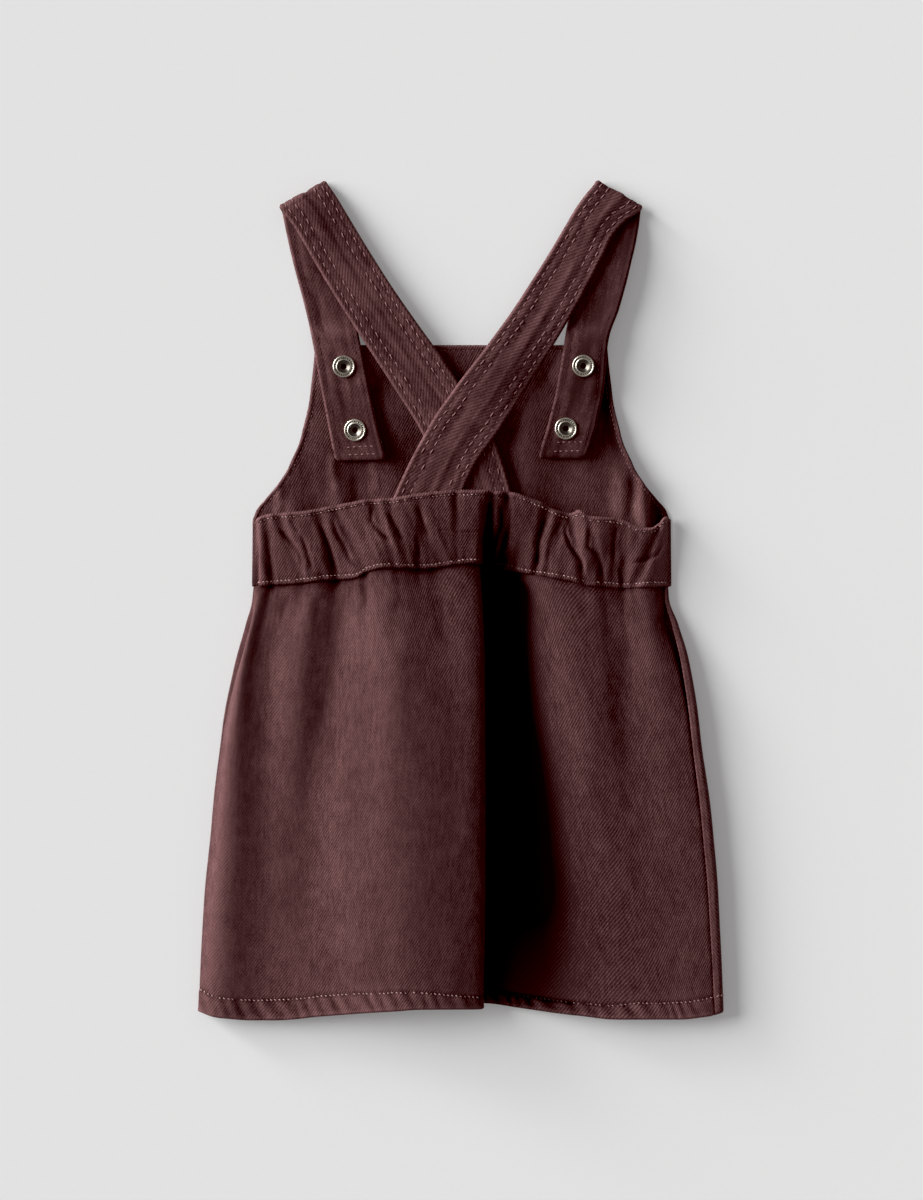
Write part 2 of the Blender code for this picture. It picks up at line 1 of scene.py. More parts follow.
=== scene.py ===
# %% [markdown]
# # A child's pinafore dress in burgundy cotton twill
#
# This is a small pinafore, laid flat on a table with its back up. A plain bib carries two snap
# rings on each side, two straps run over the shoulders and cross at the back, an elastic band
# gathers the back waist, and the skirt falls in one great fold beside a deep, dark valley.
#
# Every piece of cloth is made the way a pattern cutter thinks of it: as a grid of points on the
# middle of the cloth, with rows down the dress and columns across it. A grid keeps the run of
# the yarn, so the weave, the creases and the stitches can all be placed along it.

# %% The frame
import math

import bpy
import numpy as np
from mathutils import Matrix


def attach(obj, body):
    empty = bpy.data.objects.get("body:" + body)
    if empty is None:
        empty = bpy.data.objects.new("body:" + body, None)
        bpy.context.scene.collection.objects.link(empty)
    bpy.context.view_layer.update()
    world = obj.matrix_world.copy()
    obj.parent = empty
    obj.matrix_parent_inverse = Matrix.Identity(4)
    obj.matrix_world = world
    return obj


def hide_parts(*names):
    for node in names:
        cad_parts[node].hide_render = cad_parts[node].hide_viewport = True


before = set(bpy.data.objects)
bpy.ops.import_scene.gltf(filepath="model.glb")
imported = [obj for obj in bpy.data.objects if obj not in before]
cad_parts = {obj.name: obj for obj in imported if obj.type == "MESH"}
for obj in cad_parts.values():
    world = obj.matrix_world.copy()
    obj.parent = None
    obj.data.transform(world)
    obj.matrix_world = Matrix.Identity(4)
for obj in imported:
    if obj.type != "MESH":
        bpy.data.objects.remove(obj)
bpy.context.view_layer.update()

MM = 0.001

# %% [markdown]
# ## Camera, table and light
#
# The dress is seen from straight above through a long lens, so that nothing leans outward.
# The table is a plain pale sheet. A broad soft lamp at the upper left rakes over the folds, a
# weaker one stands lower and draws long faint shadows on the table, and a weak even light comes
# from all round. A sun lamp with a wide angle acts as a soft box that stands far away, so it
# lights the whole table evenly.

# %% Camera, table and light
CAMERA_HEIGHT = 4.0
CAMERA_SHIFT = (0.0002, -0.0002)
VIEW_LENGTH = 0.78
SENSOR = 36.0
TABLE_SIZE = 6.0
TABLE_DROP = 0.0004
ROOM_LIGHT = 0.26
DARKEST = (0.004, 0.011, 0.011)    # the red, green and blue that are shown as black

camera = bpy.data.objects.new("camera", bpy.data.cameras.new("camera"))
camera.location = (*CAMERA_SHIFT, CAMERA_HEIGHT)
camera.data.sensor_width = SENSOR
camera.data.lens = SENSOR * CAMERA_HEIGHT / VIEW_LENGTH
bpy.context.scene.collection.objects.link(camera)
bpy.context.scene.camera = camera

bpy.ops.mesh.primitive_plane_add(size=TABLE_SIZE, location=(0, 0, -TABLE_DROP))
table_top = bpy.context.active_object
table_top.name = "table_top"

LAMPS = (
    # name, energy, width, height and turn in degrees
    ("soft lamp", 5.2, 42, 20.5, 161),
    ("low lamp", 2.3, 14, 9, 145),
)
for name, energy, width_deg, height_deg, turn_deg in LAMPS:
    lamp = bpy.data.objects.new(name, bpy.data.lights.new(name, "SUN"))
    lamp.data.energy = energy
    lamp.data.angle = math.radians(width_deg)
    lamp.rotation_euler = (0, math.radians(90 - height_deg), math.radians(turn_deg))
    bpy.context.scene.collection.objects.link(lamp)

world = bpy.data.worlds.new("studio")
world.use_nodes = True
room = world.node_tree.nodes["Background"]
room.inputs["Color"].default_value = (1, 1, 1, 1)
room.inputs["Strength"].default_value = ROOM_LIGHT
bpy.context.scene.world = world

look = bpy.context.scene.view_settings
look.view_transform = "Standard"
look.use_curve_mapping = True
look.curve_mapping.black_level = DARKEST
look.curve_mapping.update()
print("camera", round(camera.data.lens, 1), "mm lens;", len(LAMPS), "lamps")

# %% [markdown]
# ## Small helpers
#
# A table is a heading and rows of numbers in millimetres, read by column name. `smooth` draws
# an even curve through a column without overshooting, `ease` is a soft step, and `bspline`
# bends a line softly towards a row of control points, as cloth does over what lies under it.

# %% Small helpers
def table(header, *rows):
    """A small table as a dictionary from column name to values."""
    return {name: np.array(values, float) for name, values in zip(header.split(), zip(*rows))}


def smooth(at, keys, values):
    """Monotone cubic through (keys, values), level beyond its ends."""
    order = np.argsort(keys)
    keys = np.asarray(keys, float)[order]
    values = np.asarray(values, float)[order]
    at = np.clip(at, keys[0], keys[-1])
    step = np.diff(keys)
    rise = np.diff(values) / step
    product = rise[:-1] * rise[1:]
    total = np.where(product > 0, rise[:-1] + rise[1:], 1.0)
    inner = np.where(product > 0, 2 * product / total, 0.0)
    slope = np.concatenate([rise[:1], inner, rise[-1:]])
    i = np.clip(np.searchsorted(keys, at, side="right") - 1, 0, len(step) - 1)
    t = (at - keys[i]) / step[i]
    start = values[i] + step[i] * slope[i] * t
    end = values[i + 1] - step[i] * slope[i + 1] * (1 - t)
    blend = t * t * (3 - 2 * t)
    return start * (1 - blend) + end * blend


def ease(t):
    """Soft step from 0 to 1."""
    t = np.clip(t, 0.0, 1.0)
    return t * t * (3 - 2 * t)


def bump(distance, half_width):
    """A soft bell, 1 in the middle."""
    return np.exp(-((distance / half_width) ** 2))


def bspline(controls, at):
    """Quadratic B-spline. controls has shape (count, points, 2), and at one place for each point."""
    first = 2 * controls[:1] - controls[1:2]
    last = 2 * controls[-1:] - controls[-2:-1]
    padded = np.concatenate([first, controls, last])
    i = np.clip(np.floor(at + 0.5).astype(int), 0, len(controls) - 1)
    t = (at + 0.5 - i)[:, None]
    point = np.arange(len(at))
    before, here, after = padded[i, point], padded[i + 1, point], padded[i + 2, point]
    return (before * (1 - t) ** 2 + here * (1 + 2 * t - 2 * t * t) + after * t * t) / 2


print("helpers ready: ease(0.25) =", float(ease(0.25)))

# %% [markdown]
# ## Soft unevenness
#
# No seam pulls quite evenly, and washed cloth lies nowhere quite flat. `unevenness` is a field of
# soft random hills that can be read at any place on the cloth. Each field has its own fixed seed,
# so the same hills come back every time, and one length says how far apart they are.

# %% Soft unevenness
HILLS = 64    # squares each way before the field repeats


def unevenness(x, y, size, seed):
    """Soft random hills between -1 and 1, one to each square of this size in mm."""
    heights = np.random.default_rng(seed).uniform(-1, 1, (HILLS, HILLS))
    middle = (HILLS - 1) / 2
    across, along = np.asarray(x) / size + middle, np.asarray(y) / size + middle
    i, j = np.floor(across).astype(int), np.floor(along).astype(int)
    s, t = ease(across - i), ease(along - j)
    corner = lambda a, b: heights[(i + a) % HILLS, (j + b) % HILLS]
    near = corner(0, 0) * (1 - s) + corner(1, 0) * s
    far = corner(0, 1) * (1 - s) + corner(1, 1) * s
    return near * (1 - t) + far * t


print("unevenness repeats after", HILLS, "hills")

# %% [markdown]
# ## Creases
#
# A crease in cloth is a narrow trough with softer cloth beside it, often higher on one side
# than on the other. Sculpting each by hand is slow, and a simulation puts them where it likes.
# Here each crease is a short line on the pattern with a depth and a width, so that it lies just
# where the maker wants it, and the cloth beside it can be lifted on one side.

# %% Creases
def distance_to(line, x, y):
    """Distance to a polyline, the side (+1 left of its run), and the share of its length passed."""
    line = np.asarray(line, float)
    lengths = np.linalg.norm(np.diff(line, axis=0), axis=1)
    passed = np.concatenate([[0], np.cumsum(lengths)]) / lengths.sum()
    best = np.full(x.shape, np.inf)
    side = np.ones(x.shape)
    share = np.zeros(x.shape)
    for k, (start, end) in enumerate(zip(line[:-1], line[1:])):
        run = end - start
        raw = ((x - start[0]) * run[0] + (y - start[1]) * run[1]) / (run @ run)
        t = np.clip(raw, 0, 1)
        away_x, away_y = x - start[0] - t * run[0], y - start[1] - t * run[1]
        away = np.hypot(away_x, away_y)
        nearer = away < best
        best = np.where(nearer, away, best)
        side = np.where(nearer, np.sign(run[0] * away_y - run[1] * away_x), side)
        share = np.where(nearer, passed[k] + t * (passed[k + 1] - passed[k]), share)
    return best, side, share


def crease(x, y, line, depth, width, lift=0.0, lift_width=7.0, fade=0.25):
    """Height change of one crease; lift raises the cloth on the left of the line's run."""
    away, side, share = distance_to(line, x, y)
    strength = ease(share / fade) * ease((1 - share) / fade)
    trough = -depth * bump(away, width)
    beside = np.abs(lift) * np.exp(-away / lift_width) * (1 - bump(away, width))
    return strength * (trough + beside * (side * np.sign(lift) > 0))


print("crease of depth 1 at its middle:",
      float(crease(np.array([5.0]), np.array([0.0]), [(0, 0), (10, 0)], 1.0, 1.0)[0]))

# %% [markdown]
# ## Helpers for materials
#
# A material is a tree of small nodes. Placing one by hand, setting it and linking it takes many
# lines, so `add_node` does all three in one call, and the helpers after it give one value or one
# colour each. `new_group` makes a group: a tree with named sockets that many materials can share.

# %% Node helpers
def add_node(tree, kind, values=None, **settings):
    """A node with its settings, its input values and its links, in one call."""
    node = tree.nodes.new(kind)
    for name, value in settings.items():
        setattr(node, name, value)
    for name, value in (values or {}).items():
        if isinstance(value, bpy.types.NodeSocket):
            tree.links.new(value, node.inputs[name])
        else:
            node.inputs[name].default_value = value
    return node


def maths(tree, operation, first, second=0.0, third=0.0):
    """The output of one Math node."""
    node = add_node(tree, "ShaderNodeMath", {0: first, 1: second, 2: third}, operation=operation)
    return node.outputs[0]


def scaled(tree, value, factor):
    """A place or a colour times one number."""
    values = {0: value, "Scale": factor}
    return add_node(tree, "ShaderNodeVectorMath", values, operation="SCALE").outputs[0]


def mix_colours(tree, share, first, second):
    """A colour between two colours, by a share from 0 to 1."""
    values = {0: share, 6: first, 7: second}
    return add_node(tree, "ShaderNodeMix", values, data_type="RGBA", clamp_factor=True).outputs[2]


def noise(tree, place, scale, detail=2.0, roughness=0.5):
    """The value of one noise texture."""
    values = {"Vector": place, "Scale": scale, "Detail": detail, "Roughness": roughness}
    return add_node(tree, "ShaderNodeTexNoise", values).outputs[0]


def new_group(name, inputs, outputs):
    """A node group with named sockets: inputs are (name, kind, default)."""
    tree = bpy.data.node_groups.new(name, "ShaderNodeTree")
    for label, kind, default in inputs:
        socket = tree.interface.new_socket(label, in_out="INPUT", socket_type="NodeSocket" + kind)
        if default is not None:
            socket.default_value = default
    for label, kind in outputs:
        tree.interface.new_socket(label, in_out="OUTPUT", socket_type="NodeSocket" + kind)
    return tree, tree.nodes.new("NodeGroupInput"), tree.nodes.new("NodeGroupOutput")


print("node helpers ready")

# %% [markdown]
# ## Twill weave
#
# Denim is a twill: each yarn passes over two and under one, one step further on each row, which
# draws fine diagonal ribs. An image texture could carry it, but it would blur close up. A wave
# across the ribs, bent by a little noise and broken into floats, stays sharp at every scale.
# It is a node group because every cloth of the dress uses it, each with its own lean.

# %% The twill weave group
TWO_PI = 2 * math.pi
RIB_SWAY = (0.09, 0.35)       # how fine each noise is along and across the ribs
RIB_FLOATS = (0.35, 0.9)
YARN_FLECKS = (0.8, 1.3)

weave, given, result = new_group(
    "Twill weave",
    [("Cloth place", "Vector", None), ("Pitch", "Float", 1.8), ("Lean", "Float", 60.0),
     ("Bend", "Float", 0.04)],
    [("Rib", "Float"), ("Fleck", "Float"), ("Height", "Float")],
)
turn = maths(weave, "MULTIPLY", given.outputs["Lean"], -math.pi / 180)
cloth_place = given.outputs["Cloth place"]
turned = add_node(weave, "ShaderNodeVectorRotate", {"Vector": cloth_place, "Angle": turn},
                  rotation_type="Z_AXIS")
parts = add_node(weave, "ShaderNodeSeparateXYZ", {0: turned.outputs[0]})
along_rib, across_rib = parts.outputs[0], parts.outputs[1]


def stretched(along, across):
    """A place on the cloth, stretched along the ribs."""
    values = {0: maths(weave, "MULTIPLY", along_rib, along),
              1: maths(weave, "MULTIPLY", across_rib, across)}
    return add_node(weave, "ShaderNodeCombineXYZ", values).outputs[0]


sway = maths(weave, "SUBTRACT", noise(weave, stretched(*RIB_SWAY), 1.0), 0.5)
steps = maths(weave, "DIVIDE", across_rib, given.outputs["Pitch"])
bend = maths(weave, "MULTIPLY", given.outputs["Bend"], 4.0)
phase = maths(weave, "MULTIPLY_ADD", sway, bend, steps)
wave = maths(weave, "SINE", maths(weave, "MULTIPLY", phase, TWO_PI))
floats = noise(weave, stretched(*RIB_FLOATS), 1.0, 3.0, 0.6)
rib = maths(weave, "MULTIPLY_ADD", wave, 0.5, 0.5)
broken = maths(weave, "MULTIPLY", rib, maths(weave, "MULTIPLY_ADD", floats, 1.4, 0.15))
weave.links.new(broken, result.inputs["Rib"])
weave.links.new(noise(weave, stretched(*YARN_FLECKS), 1.0, 4.0, 0.7), result.inputs["Fleck"])
weave.links.new(maths(weave, "MULTIPLY_ADD", floats, 0.5, broken), result.inputs["Height"])
print("twill weave group:", len(weave.nodes), "nodes")

# %% [markdown]
# ## Dye of the garment, and painted shade
#
# The dress was dyed after sewing and washed soft. Dye sits deeper in the seams, and rubbing
# bleaches the ribs of the twill and the rolled edges. Shade is also painted into the colour:
# troughs and deep folds are darker, and ridges lighter, partly rubbed and partly painted light.
# The mesh carries a value on each point: above 0 where the dye is deep or shade is painted,
# below 0 where the cloth is rubbed or painted lighter. The group turns it, the ribs and slow
# clouds of uneven dye into one colour. Above 1 it also scales the colour down, as painted shade
# for cloth that lies deep in a fold.

# %% The group for dye and painted shade
ALONG_YARN = (0.5, 0.09, 1.0)    # streaks in the dye run down the cut piece
MEAN_RIB = 0.43
DYE_AND_SHADE_WEIGHT = -0.42
LEAST_LIGHT = 0.05

dye, given, result = new_group(
    "Garment dye and painted shade",
    [("Cloth place", "Vector", None), ("Rib", "Float", 0.5), ("Fleck", "Float", 0.5),
     ("Recess", "Float", 0.0), ("Deep dye and shade", "Color", None), ("Rubbed and lit", "Color", None),
     ("Start", "Float", 0.2), ("Rib weight", "Float", 0.5)],
    [("Colour", "Color")],
)
cloth_place, recess = given.outputs["Cloth place"], given.outputs["Recess"]
clouds = noise(dye, cloth_place, 0.045, 3.0, 0.55)
patches = noise(dye, cloth_place, 0.16, 2.0, 0.5)
yarns = add_node(dye, "ShaderNodeVectorMath", {0: cloth_place, 1: ALONG_YARN}, operation="MULTIPLY")
streaks = noise(dye, yarns.outputs[0], 1.0, 3.0, 0.6)
level_rib = maths(dye, "SUBTRACT", given.outputs["Rib"], MEAN_RIB)
tone = maths(dye, "MULTIPLY_ADD", level_rib, given.outputs["Rib weight"], given.outputs["Start"])
for uneven, weight in ((given.outputs["Fleck"], 1.9), (clouds, 0.35), (patches, 0.4), (streaks, 0.9)):
    tone = maths(dye, "MULTIPLY_ADD", maths(dye, "SUBTRACT", uneven, 0.5), weight, tone)
tone = maths(dye, "MULTIPLY_ADD", recess, DYE_AND_SHADE_WEIGHT, tone)
tint = mix_colours(dye, tone, given.outputs["Deep dye and shade"], given.outputs["Rubbed and lit"])
# painted shade: above 1 the colour is scaled down, to as little as LEAST_LIGHT
from_deep = maths(dye, "SUBTRACT", 2.0, recess)
painted_light_share = maths(dye, "MAXIMUM", maths(dye, "MINIMUM", from_deep, 1.0), LEAST_LIGHT)
dye.links.new(scaled(dye, tint, painted_light_share), result.inputs["Colour"])
print("dye and painted shade group:", len(dye.nodes), "nodes")

# %% [markdown]
# ## Cloth materials
#
# Cotton twill is matt, with a faint sheen from the fibre ends that stand up after washing. The
# right side and the wrong side are the same cloth, but the wrong side was rubbed less, so it is
# a little deeper in tone. The straps are cut across the grain of the skirt, so their ribs lean
# the other way.

# %% Cloth materials
UV_TO_MM = 100.0
# the dark end is deep dye and painted shade, the light end rubbed cloth and painted light
DEEP_DYE_AND_SHADE = (0.0375, 0.0175, 0.0180, 1)
RUBBED_AND_LIT = (0.156, 0.0790, 0.0808, 1)
SHEEN = (0.55, 0.42, 0.43, 1)
RIB_HEIGHT = 0.0003


def plain_material(name, roughness, metallic=0.0, specular=0.5):
    """A material with its Principled shader, and its node tree."""
    material = bpy.data.materials.new(name)
    material.use_nodes = True
    shader = material.node_tree.nodes["Principled BSDF"]
    shader.inputs["Roughness"].default_value = roughness
    shader.inputs["Metallic"].default_value = metallic
    shader.inputs["Specular IOR Level"].default_value = specular
    return material, material.node_tree, shader


def cloth_material(name, lean, pitch, start, ribs):
    """A twill finish: how its ribs lean, in degrees, their pitch in mm, its tone and their weight."""
    material, tree, shader = plain_material(name, 0.88, specular=0.05)
    shader.inputs["Sheen Weight"].default_value = 0.03
    shader.inputs["Sheen Roughness"].default_value = 0.5
    shader.inputs["Sheen Tint"].default_value = SHEEN
    uv = add_node(tree, "ShaderNodeUVMap", uv_map="UVMap").outputs[0]
    place = scaled(tree, uv, UV_TO_MM)
    ribbed = add_node(tree, "ShaderNodeGroup", node_tree=weave)
    tree.links.new(place, ribbed.inputs["Cloth place"])
    ribbed.inputs["Pitch"].default_value = pitch
    ribbed.inputs["Lean"].default_value = lean
    recess = add_node(tree, "ShaderNodeAttribute", attribute_name="recess").outputs["Fac"]
    colour = add_node(tree, "ShaderNodeGroup", node_tree=dye)
    for socket, value in (("Cloth place", place), ("Rib", ribbed.outputs["Rib"]),
                          ("Fleck", ribbed.outputs["Fleck"]), ("Recess", recess)):
        tree.links.new(value, colour.inputs[socket])
    colour.inputs["Deep dye and shade"].default_value = DEEP_DYE_AND_SHADE
    colour.inputs["Rubbed and lit"].default_value = RUBBED_AND_LIT
    colour.inputs["Start"].default_value = start
    colour.inputs["Rib weight"].default_value = ribs
    tree.links.new(colour.outputs["Colour"], shader.inputs["Base Color"])
    raised = add_node(tree, "ShaderNodeBump", {"Strength": 1.5 * ribs, "Distance": RIB_HEIGHT,
                                              "Height": ribbed.outputs["Height"]})
    tree.links.new(raised.outputs["Normal"], shader.inputs["Normal"])
    return material


TWILL_FINISHES = (
    # name, lean of the ribs in degrees, pitch in mm, start of the tone, rib weight
    ("burgundy twill", 57.0, 1.5, 0.45, 0.4),
    ("burgundy twill inside", 62.0, 1.5, 0.41, 0.42),
    ("burgundy twill waistband", 57.0, 1.5, 0.44, 0.55),
    ("burgundy twill straps", -54.0, 1.9, 0.44, 0.28),
    ("burgundy twill inside straps", -54.0, 1.7, 0.37, 0.14),
)
twill, twill_inside, band_twill, strap_twill, strap_inside = (
    cloth_material(*finish) for finish in TWILL_FINISHES)
print("cloth materials:", [name for name, *_ in TWILL_FINISHES])

# %% [markdown]
# ## Thread, steel and table
#
# The waist and hem are sewn in a pale rose thread, the straps in one closer to the cloth. Thread
# is a twist of fine plies, drawn here as slanting stripes in its bump. The snaps are plated steel
# with a darker film in patches, so their colour and roughness vary a little. A darker copy of the
# steel paints the shade in their eyelets and notches, and a near-black disc the shade in their
# holes. The table glows a little, painted light that lifts its shadows.

# %% Thread, steel and table
TABLE_GLOW = 0.15
TABLE_GREYS = ((0.632, 0.632, 0.632, 1), (0.648, 0.648, 0.648, 1))
THREAD_MOTTLE, THREAD_TWIST = 900.0, 700.0    # how fine the noise and the stripes of a thread are
STEEL_MOTTLE = 420.0
PAPER_GRAIN = 300.0


def thread_material(name, colour, darker):
    """Twisted cotton thread, a little uneven in colour."""
    material, tree, shader = plain_material(name, 0.7, specular=0.15)
    place = add_node(tree, "ShaderNodeTexCoord").outputs["Object"]
    tint = mix_colours(tree, noise(tree, place, THREAD_MOTTLE), (*darker, 1), (*colour, 1))
    # painted shade: this value scales the thread's colour down where its seam lies out of the light
    sunk = add_node(tree, "ShaderNodeAttribute", attribute_name="recess").outputs["Fac"]
    shaded_tint = scaled(tree, tint, maths(tree, "SUBTRACT", 1.0, sunk))
    tree.links.new(shaded_tint, shader.inputs["Base Color"])
    twist = add_node(tree, "ShaderNodeTexWave", {"Vector": place, "Scale": THREAD_TWIST, "Distortion": 1.0},
                     bands_direction="DIAGONAL")
    raised = add_node(tree, "ShaderNodeBump",
                      {"Strength": 0.4, "Distance": 0.0002, "Height": twist.outputs[1]})
    tree.links.new(raised.outputs["Normal"], shader.inputs["Normal"])
    return material


def steel_material(name, bright, film):
    """Plated steel with a darker film in patches."""
    material, tree, shader = plain_material(name, 0.3, 1.0)
    place = add_node(tree, "ShaderNodeTexCoord").outputs["Object"]
    patches = noise(tree, place, STEEL_MOTTLE, 4.0, 0.6)
    tree.links.new(mix_colours(tree, patches, (*film, 1), (*bright, 1)), shader.inputs["Base Color"])
    gloss = add_node(tree, "ShaderNodeMapRange", {"Value": patches, "To Min": 0.22, "To Max": 0.45})
    tree.links.new(gloss.outputs[0], shader.inputs["Roughness"])
    return material


pale_thread = thread_material("rose thread", (0.64, 0.44, 0.42), (0.34, 0.2, 0.2))
strap_thread = thread_material("burgundy thread", (0.36, 0.21, 0.215), (0.17, 0.08, 0.083))
bobbin_thread = thread_material("bobbin thread", (0.105, 0.05, 0.055), (0.06, 0.026, 0.029))
steel = steel_material("snap steel", (0.74, 0.69, 0.6), (0.36, 0.33, 0.28))
painted_shade_steel = steel_material("snap steel in painted shade", (0.15, 0.14, 0.12), (0.05, 0.045, 0.04))
hole_painted_shade, _, shader = plain_material("painted shade in a snap's hole", 0.95, specular=0.05)
shader.inputs["Base Color"].default_value = (0.008, 0.006, 0.006, 1)

table_finish, tree, shader = plain_material("pale paper table", 0.9, specular=0.1)
grain = noise(tree, add_node(tree, "ShaderNodeTexCoord").outputs["Object"], PAPER_GRAIN)
tree.links.new(mix_colours(tree, grain, *TABLE_GREYS), shader.inputs["Base Color"])
# painted light: the table glows a little, which lifts the shadows on it
shader.inputs["Emission Color"].default_value = (1, 1, 1, 1)
shader.inputs["Emission Strength"].default_value = TABLE_GLOW
table_top.data.materials.append(table_finish)
print("materials in the scene:", len(bpy.data.materials))

# %% [markdown]
# ## Slopes and hollows of a grid
#
# Two things are read off a grid before it becomes cloth. Its slope says which way the thickness
# goes at each point. How far a point lies below the cloth around it says where the colour is
# darker, partly deeper dye and partly painted shade in the hollows, and where it is lighter on the
# ridges, partly rubbed and partly painted light. That is the difference between its height and a
# blurred copy of all heights.

# %% Slopes and hollows of a grid
def normals_of(middle):
    """Unit normal at each point of a grid, up where the cloth lies face up, and square to Y at its ends."""
    normal = np.cross(np.gradient(middle, axis=0), np.gradient(middle, axis=1))
    normal[[0, -1], :, 1] = 0.0
    return normal / np.linalg.norm(normal, axis=2, keepdims=True)


def blurred(values, reach):
    """Values averaged over a window of this many points each way, twice."""
    for _ in range(2):
        for axis in (0, 1):
            size = min(reach, values.shape[axis] - 1)
            padding = [(size + 1, size) if axis == k else (0, 0) for k in (0, 1)]
            total = np.cumsum(np.pad(values, padding, mode="edge"), axis=axis)
            span = 2 * size + 1
            upper = np.take(total, range(span, total.shape[axis]), axis=axis)
            lower = np.take(total, range(0, total.shape[axis] - span), axis=axis)
            values = (upper - lower) / span
    return values


def recess_of(outer, reach, scale, limit=0.9):
    """How deep each point lies below the cloth around it, in mm over this scale."""
    height = outer[:, :, 2]
    return np.clip((blurred(height, reach) - height) / scale, -limit, limit)


print("slopes and hollows can be read")

# %% [markdown]
# ## From a grid to a piece of cloth
#
# Cloth has two faces and a thickness, so each piece is a closed shell: the grid is moved up and
# down by half the thickness, and the border is joined by a rounded rim. A Solidify modifier
# could do this, but working on the grid keeps the underside flat where it rests on the table,
# and gives back the upper face for the stitches to lie on.

# %% The faces of a shell
def border_of(rows, columns):
    """Indices of a grid's border, once round."""
    top = list(range(columns))
    right = [row * columns + columns - 1 for row in range(1, rows)]
    bottom = [(rows - 1) * columns + column for column in range(columns - 2, -1, -1)]
    left = [row * columns for row in range(rows - 2, 0, -1)]
    return top + right + bottom + left


def edge_outward(middle):
    """At each border point, the unit direction that leaves the cloth."""
    rows, columns = middle.shape[:2]
    inner_rows = np.clip(np.arange(rows), 1, rows - 2)[:, None]
    inner_columns = np.clip(np.arange(columns), 1, columns - 2)[None]
    outward = middle - middle[inner_rows, inner_columns]
    length = np.linalg.norm(outward, axis=2, keepdims=True)
    return (outward / np.where(length > 0, length, 1)).reshape(-1, 3)


def shell_faces(rows, columns, border):
    """Faces of a shell: its outer side, then its inner side, then the rim that joins them."""
    count, size = rows * columns, len(border)
    a = (np.arange(rows - 1)[:, None] * columns + np.arange(columns - 1)[None]).ravel()
    outer = np.stack([a, a + columns, a + columns + 1, a + 1], axis=1)
    inner = np.stack([a, a + 1, a + columns + 1, a + columns], axis=1) + count
    here = np.array(border)
    there = np.roll(here, -1)
    edge = 2 * count + np.arange(size)
    next_edge = 2 * count + np.roll(np.arange(size), -1)
    rim_up = np.stack([here, there, next_edge, edge], axis=1)
    rim_down = np.stack([edge, next_edge, there + count, here + count], axis=1)
    return np.concatenate([outer, inner, rim_up, rim_down])


def mesh_object(name, points, faces, material):
    """A smooth mesh object from points in millimetres."""
    mesh = bpy.data.meshes.new(name)
    mesh.from_pydata((np.asarray(points) * MM).tolist(), [], [tuple(face) for face in faces])
    mesh.materials.append(material)
    mesh.shade_smooth()
    thing = bpy.data.objects.new(name, mesh)
    bpy.context.scene.collection.objects.link(thing)
    return thing


print("a shell of 3 by 3 points has", len(shell_faces(3, 3, border_of(3, 3))), "faces")

# %% [markdown]
# ## A piece of cloth
#
# `make_cloth` brings the parts together. A value on each point tells the finish where the dye is
# deep or rubbed and where shade or light is painted, and a dent moves the outer face alone, as the
# roll of an edge or the groove of a seam does. The place of each point on the cut piece goes into
# the UV map, in millimetres over a hundred, so the weave follows the yarn and not the table.

# %% A piece of cloth
EDGE_SHARE = 0.72    # the shell's outermost points have this share of its thickness
RIM_SHARE = 0.38     # and the rim stands out by this share of it


def make_cloth(name, middle, thickness, material, flat, recess=0.0, dent=0.0, upright=False,
               dye_and_shade_under=0.0, dent_under=0.0, inside=None):
    """A closed cloth shell about a grid, with (u, v) in mm on the cut piece, and its two faces.

    Where a finish for the inside is given, the inner face has it, and its ribs run the other way.
    """
    rows, columns = middle.shape[:2]
    on_grid = lambda values: np.broadcast_to(values, (rows, columns))
    normal = np.broadcast_to((0.0, 0.0, 1.0), middle.shape) if upright else normals_of(middle)
    half = np.full((rows, columns, 1), thickness / 2)
    half[[0, -1]] *= EDGE_SHARE
    half[:, [0, -1]] *= EDGE_SHARE
    outer = middle + normal * (half + on_grid(dent)[:, :, None])
    inner = middle - normal * (half + on_grid(dent_under)[:, :, None])
    border = border_of(rows, columns)
    rim = (middle.reshape(-1, 3) + edge_outward(middle) * thickness * RIM_SHARE)[border]
    points = np.concatenate([outer.reshape(-1, 3), inner.reshape(-1, 3), rim])
    points[:, 2] = np.maximum(points[:, 2], 0.0)
    faces = shell_faces(rows, columns, border)
    place = np.stack([on_grid(part).ravel() for part in flat], axis=1) / UV_TO_MM
    under_place = place * (-1, 1) if inside else place
    place = np.concatenate([place, under_place, place[border]])
    depth = on_grid(recess).ravel()
    depth = np.concatenate([depth, on_grid(dye_and_shade_under).ravel(), depth[border]])
    thing = mesh_object(name, points, faces, material)
    thing.data.uv_layers.new(name="UVMap").data.foreach_set("uv", place[faces.ravel()].ravel())
    thing.data.attributes.new("recess", "FLOAT", "POINT").data.foreach_set("value", depth)
    if inside:
        thing.data.materials.append(inside)
        one_side = (rows - 1) * (columns - 1)
        finish = np.zeros(len(faces), dtype=np.int32)
        finish[one_side:2 * one_side] = 1
        thing.data.polygons.foreach_set("material_index", finish)
    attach(thing, "root")
    return thing, outer, inner


def sheet_area(thing):
    """Area of one layer of a shell, in square metres."""
    return sum(face.area for face in thing.data.polygons) / 2


print("cloth maker ready")

# %% [markdown]
# ## Paths for seams
#
# A seam keeps its distance from an edge, so a path is found by walking in from that edge on the
# cloth's own face. Its points and normals lie between the points of the grid, which keeps it on
# every fold that it crosses.

# %% Paths for seams
def along_grid(outer, rows_at, columns_at):
    """Points and normals of a grid at fractional rows and columns."""
    normal = normals_of(outer)
    i = np.clip(np.floor(rows_at).astype(int), 0, outer.shape[0] - 2)
    j = np.clip(np.floor(columns_at).astype(int), 0, outer.shape[1] - 2)
    s, t = (rows_at - i)[:, None], (columns_at - j)[:, None]
    read = lambda g: ((g[i, j] * (1 - s) + g[i + 1, j] * s) * (1 - t)
                      + (g[i, j + 1] * (1 - s) + g[i + 1, j + 1] * s) * t)
    return read(outer), read(normal)


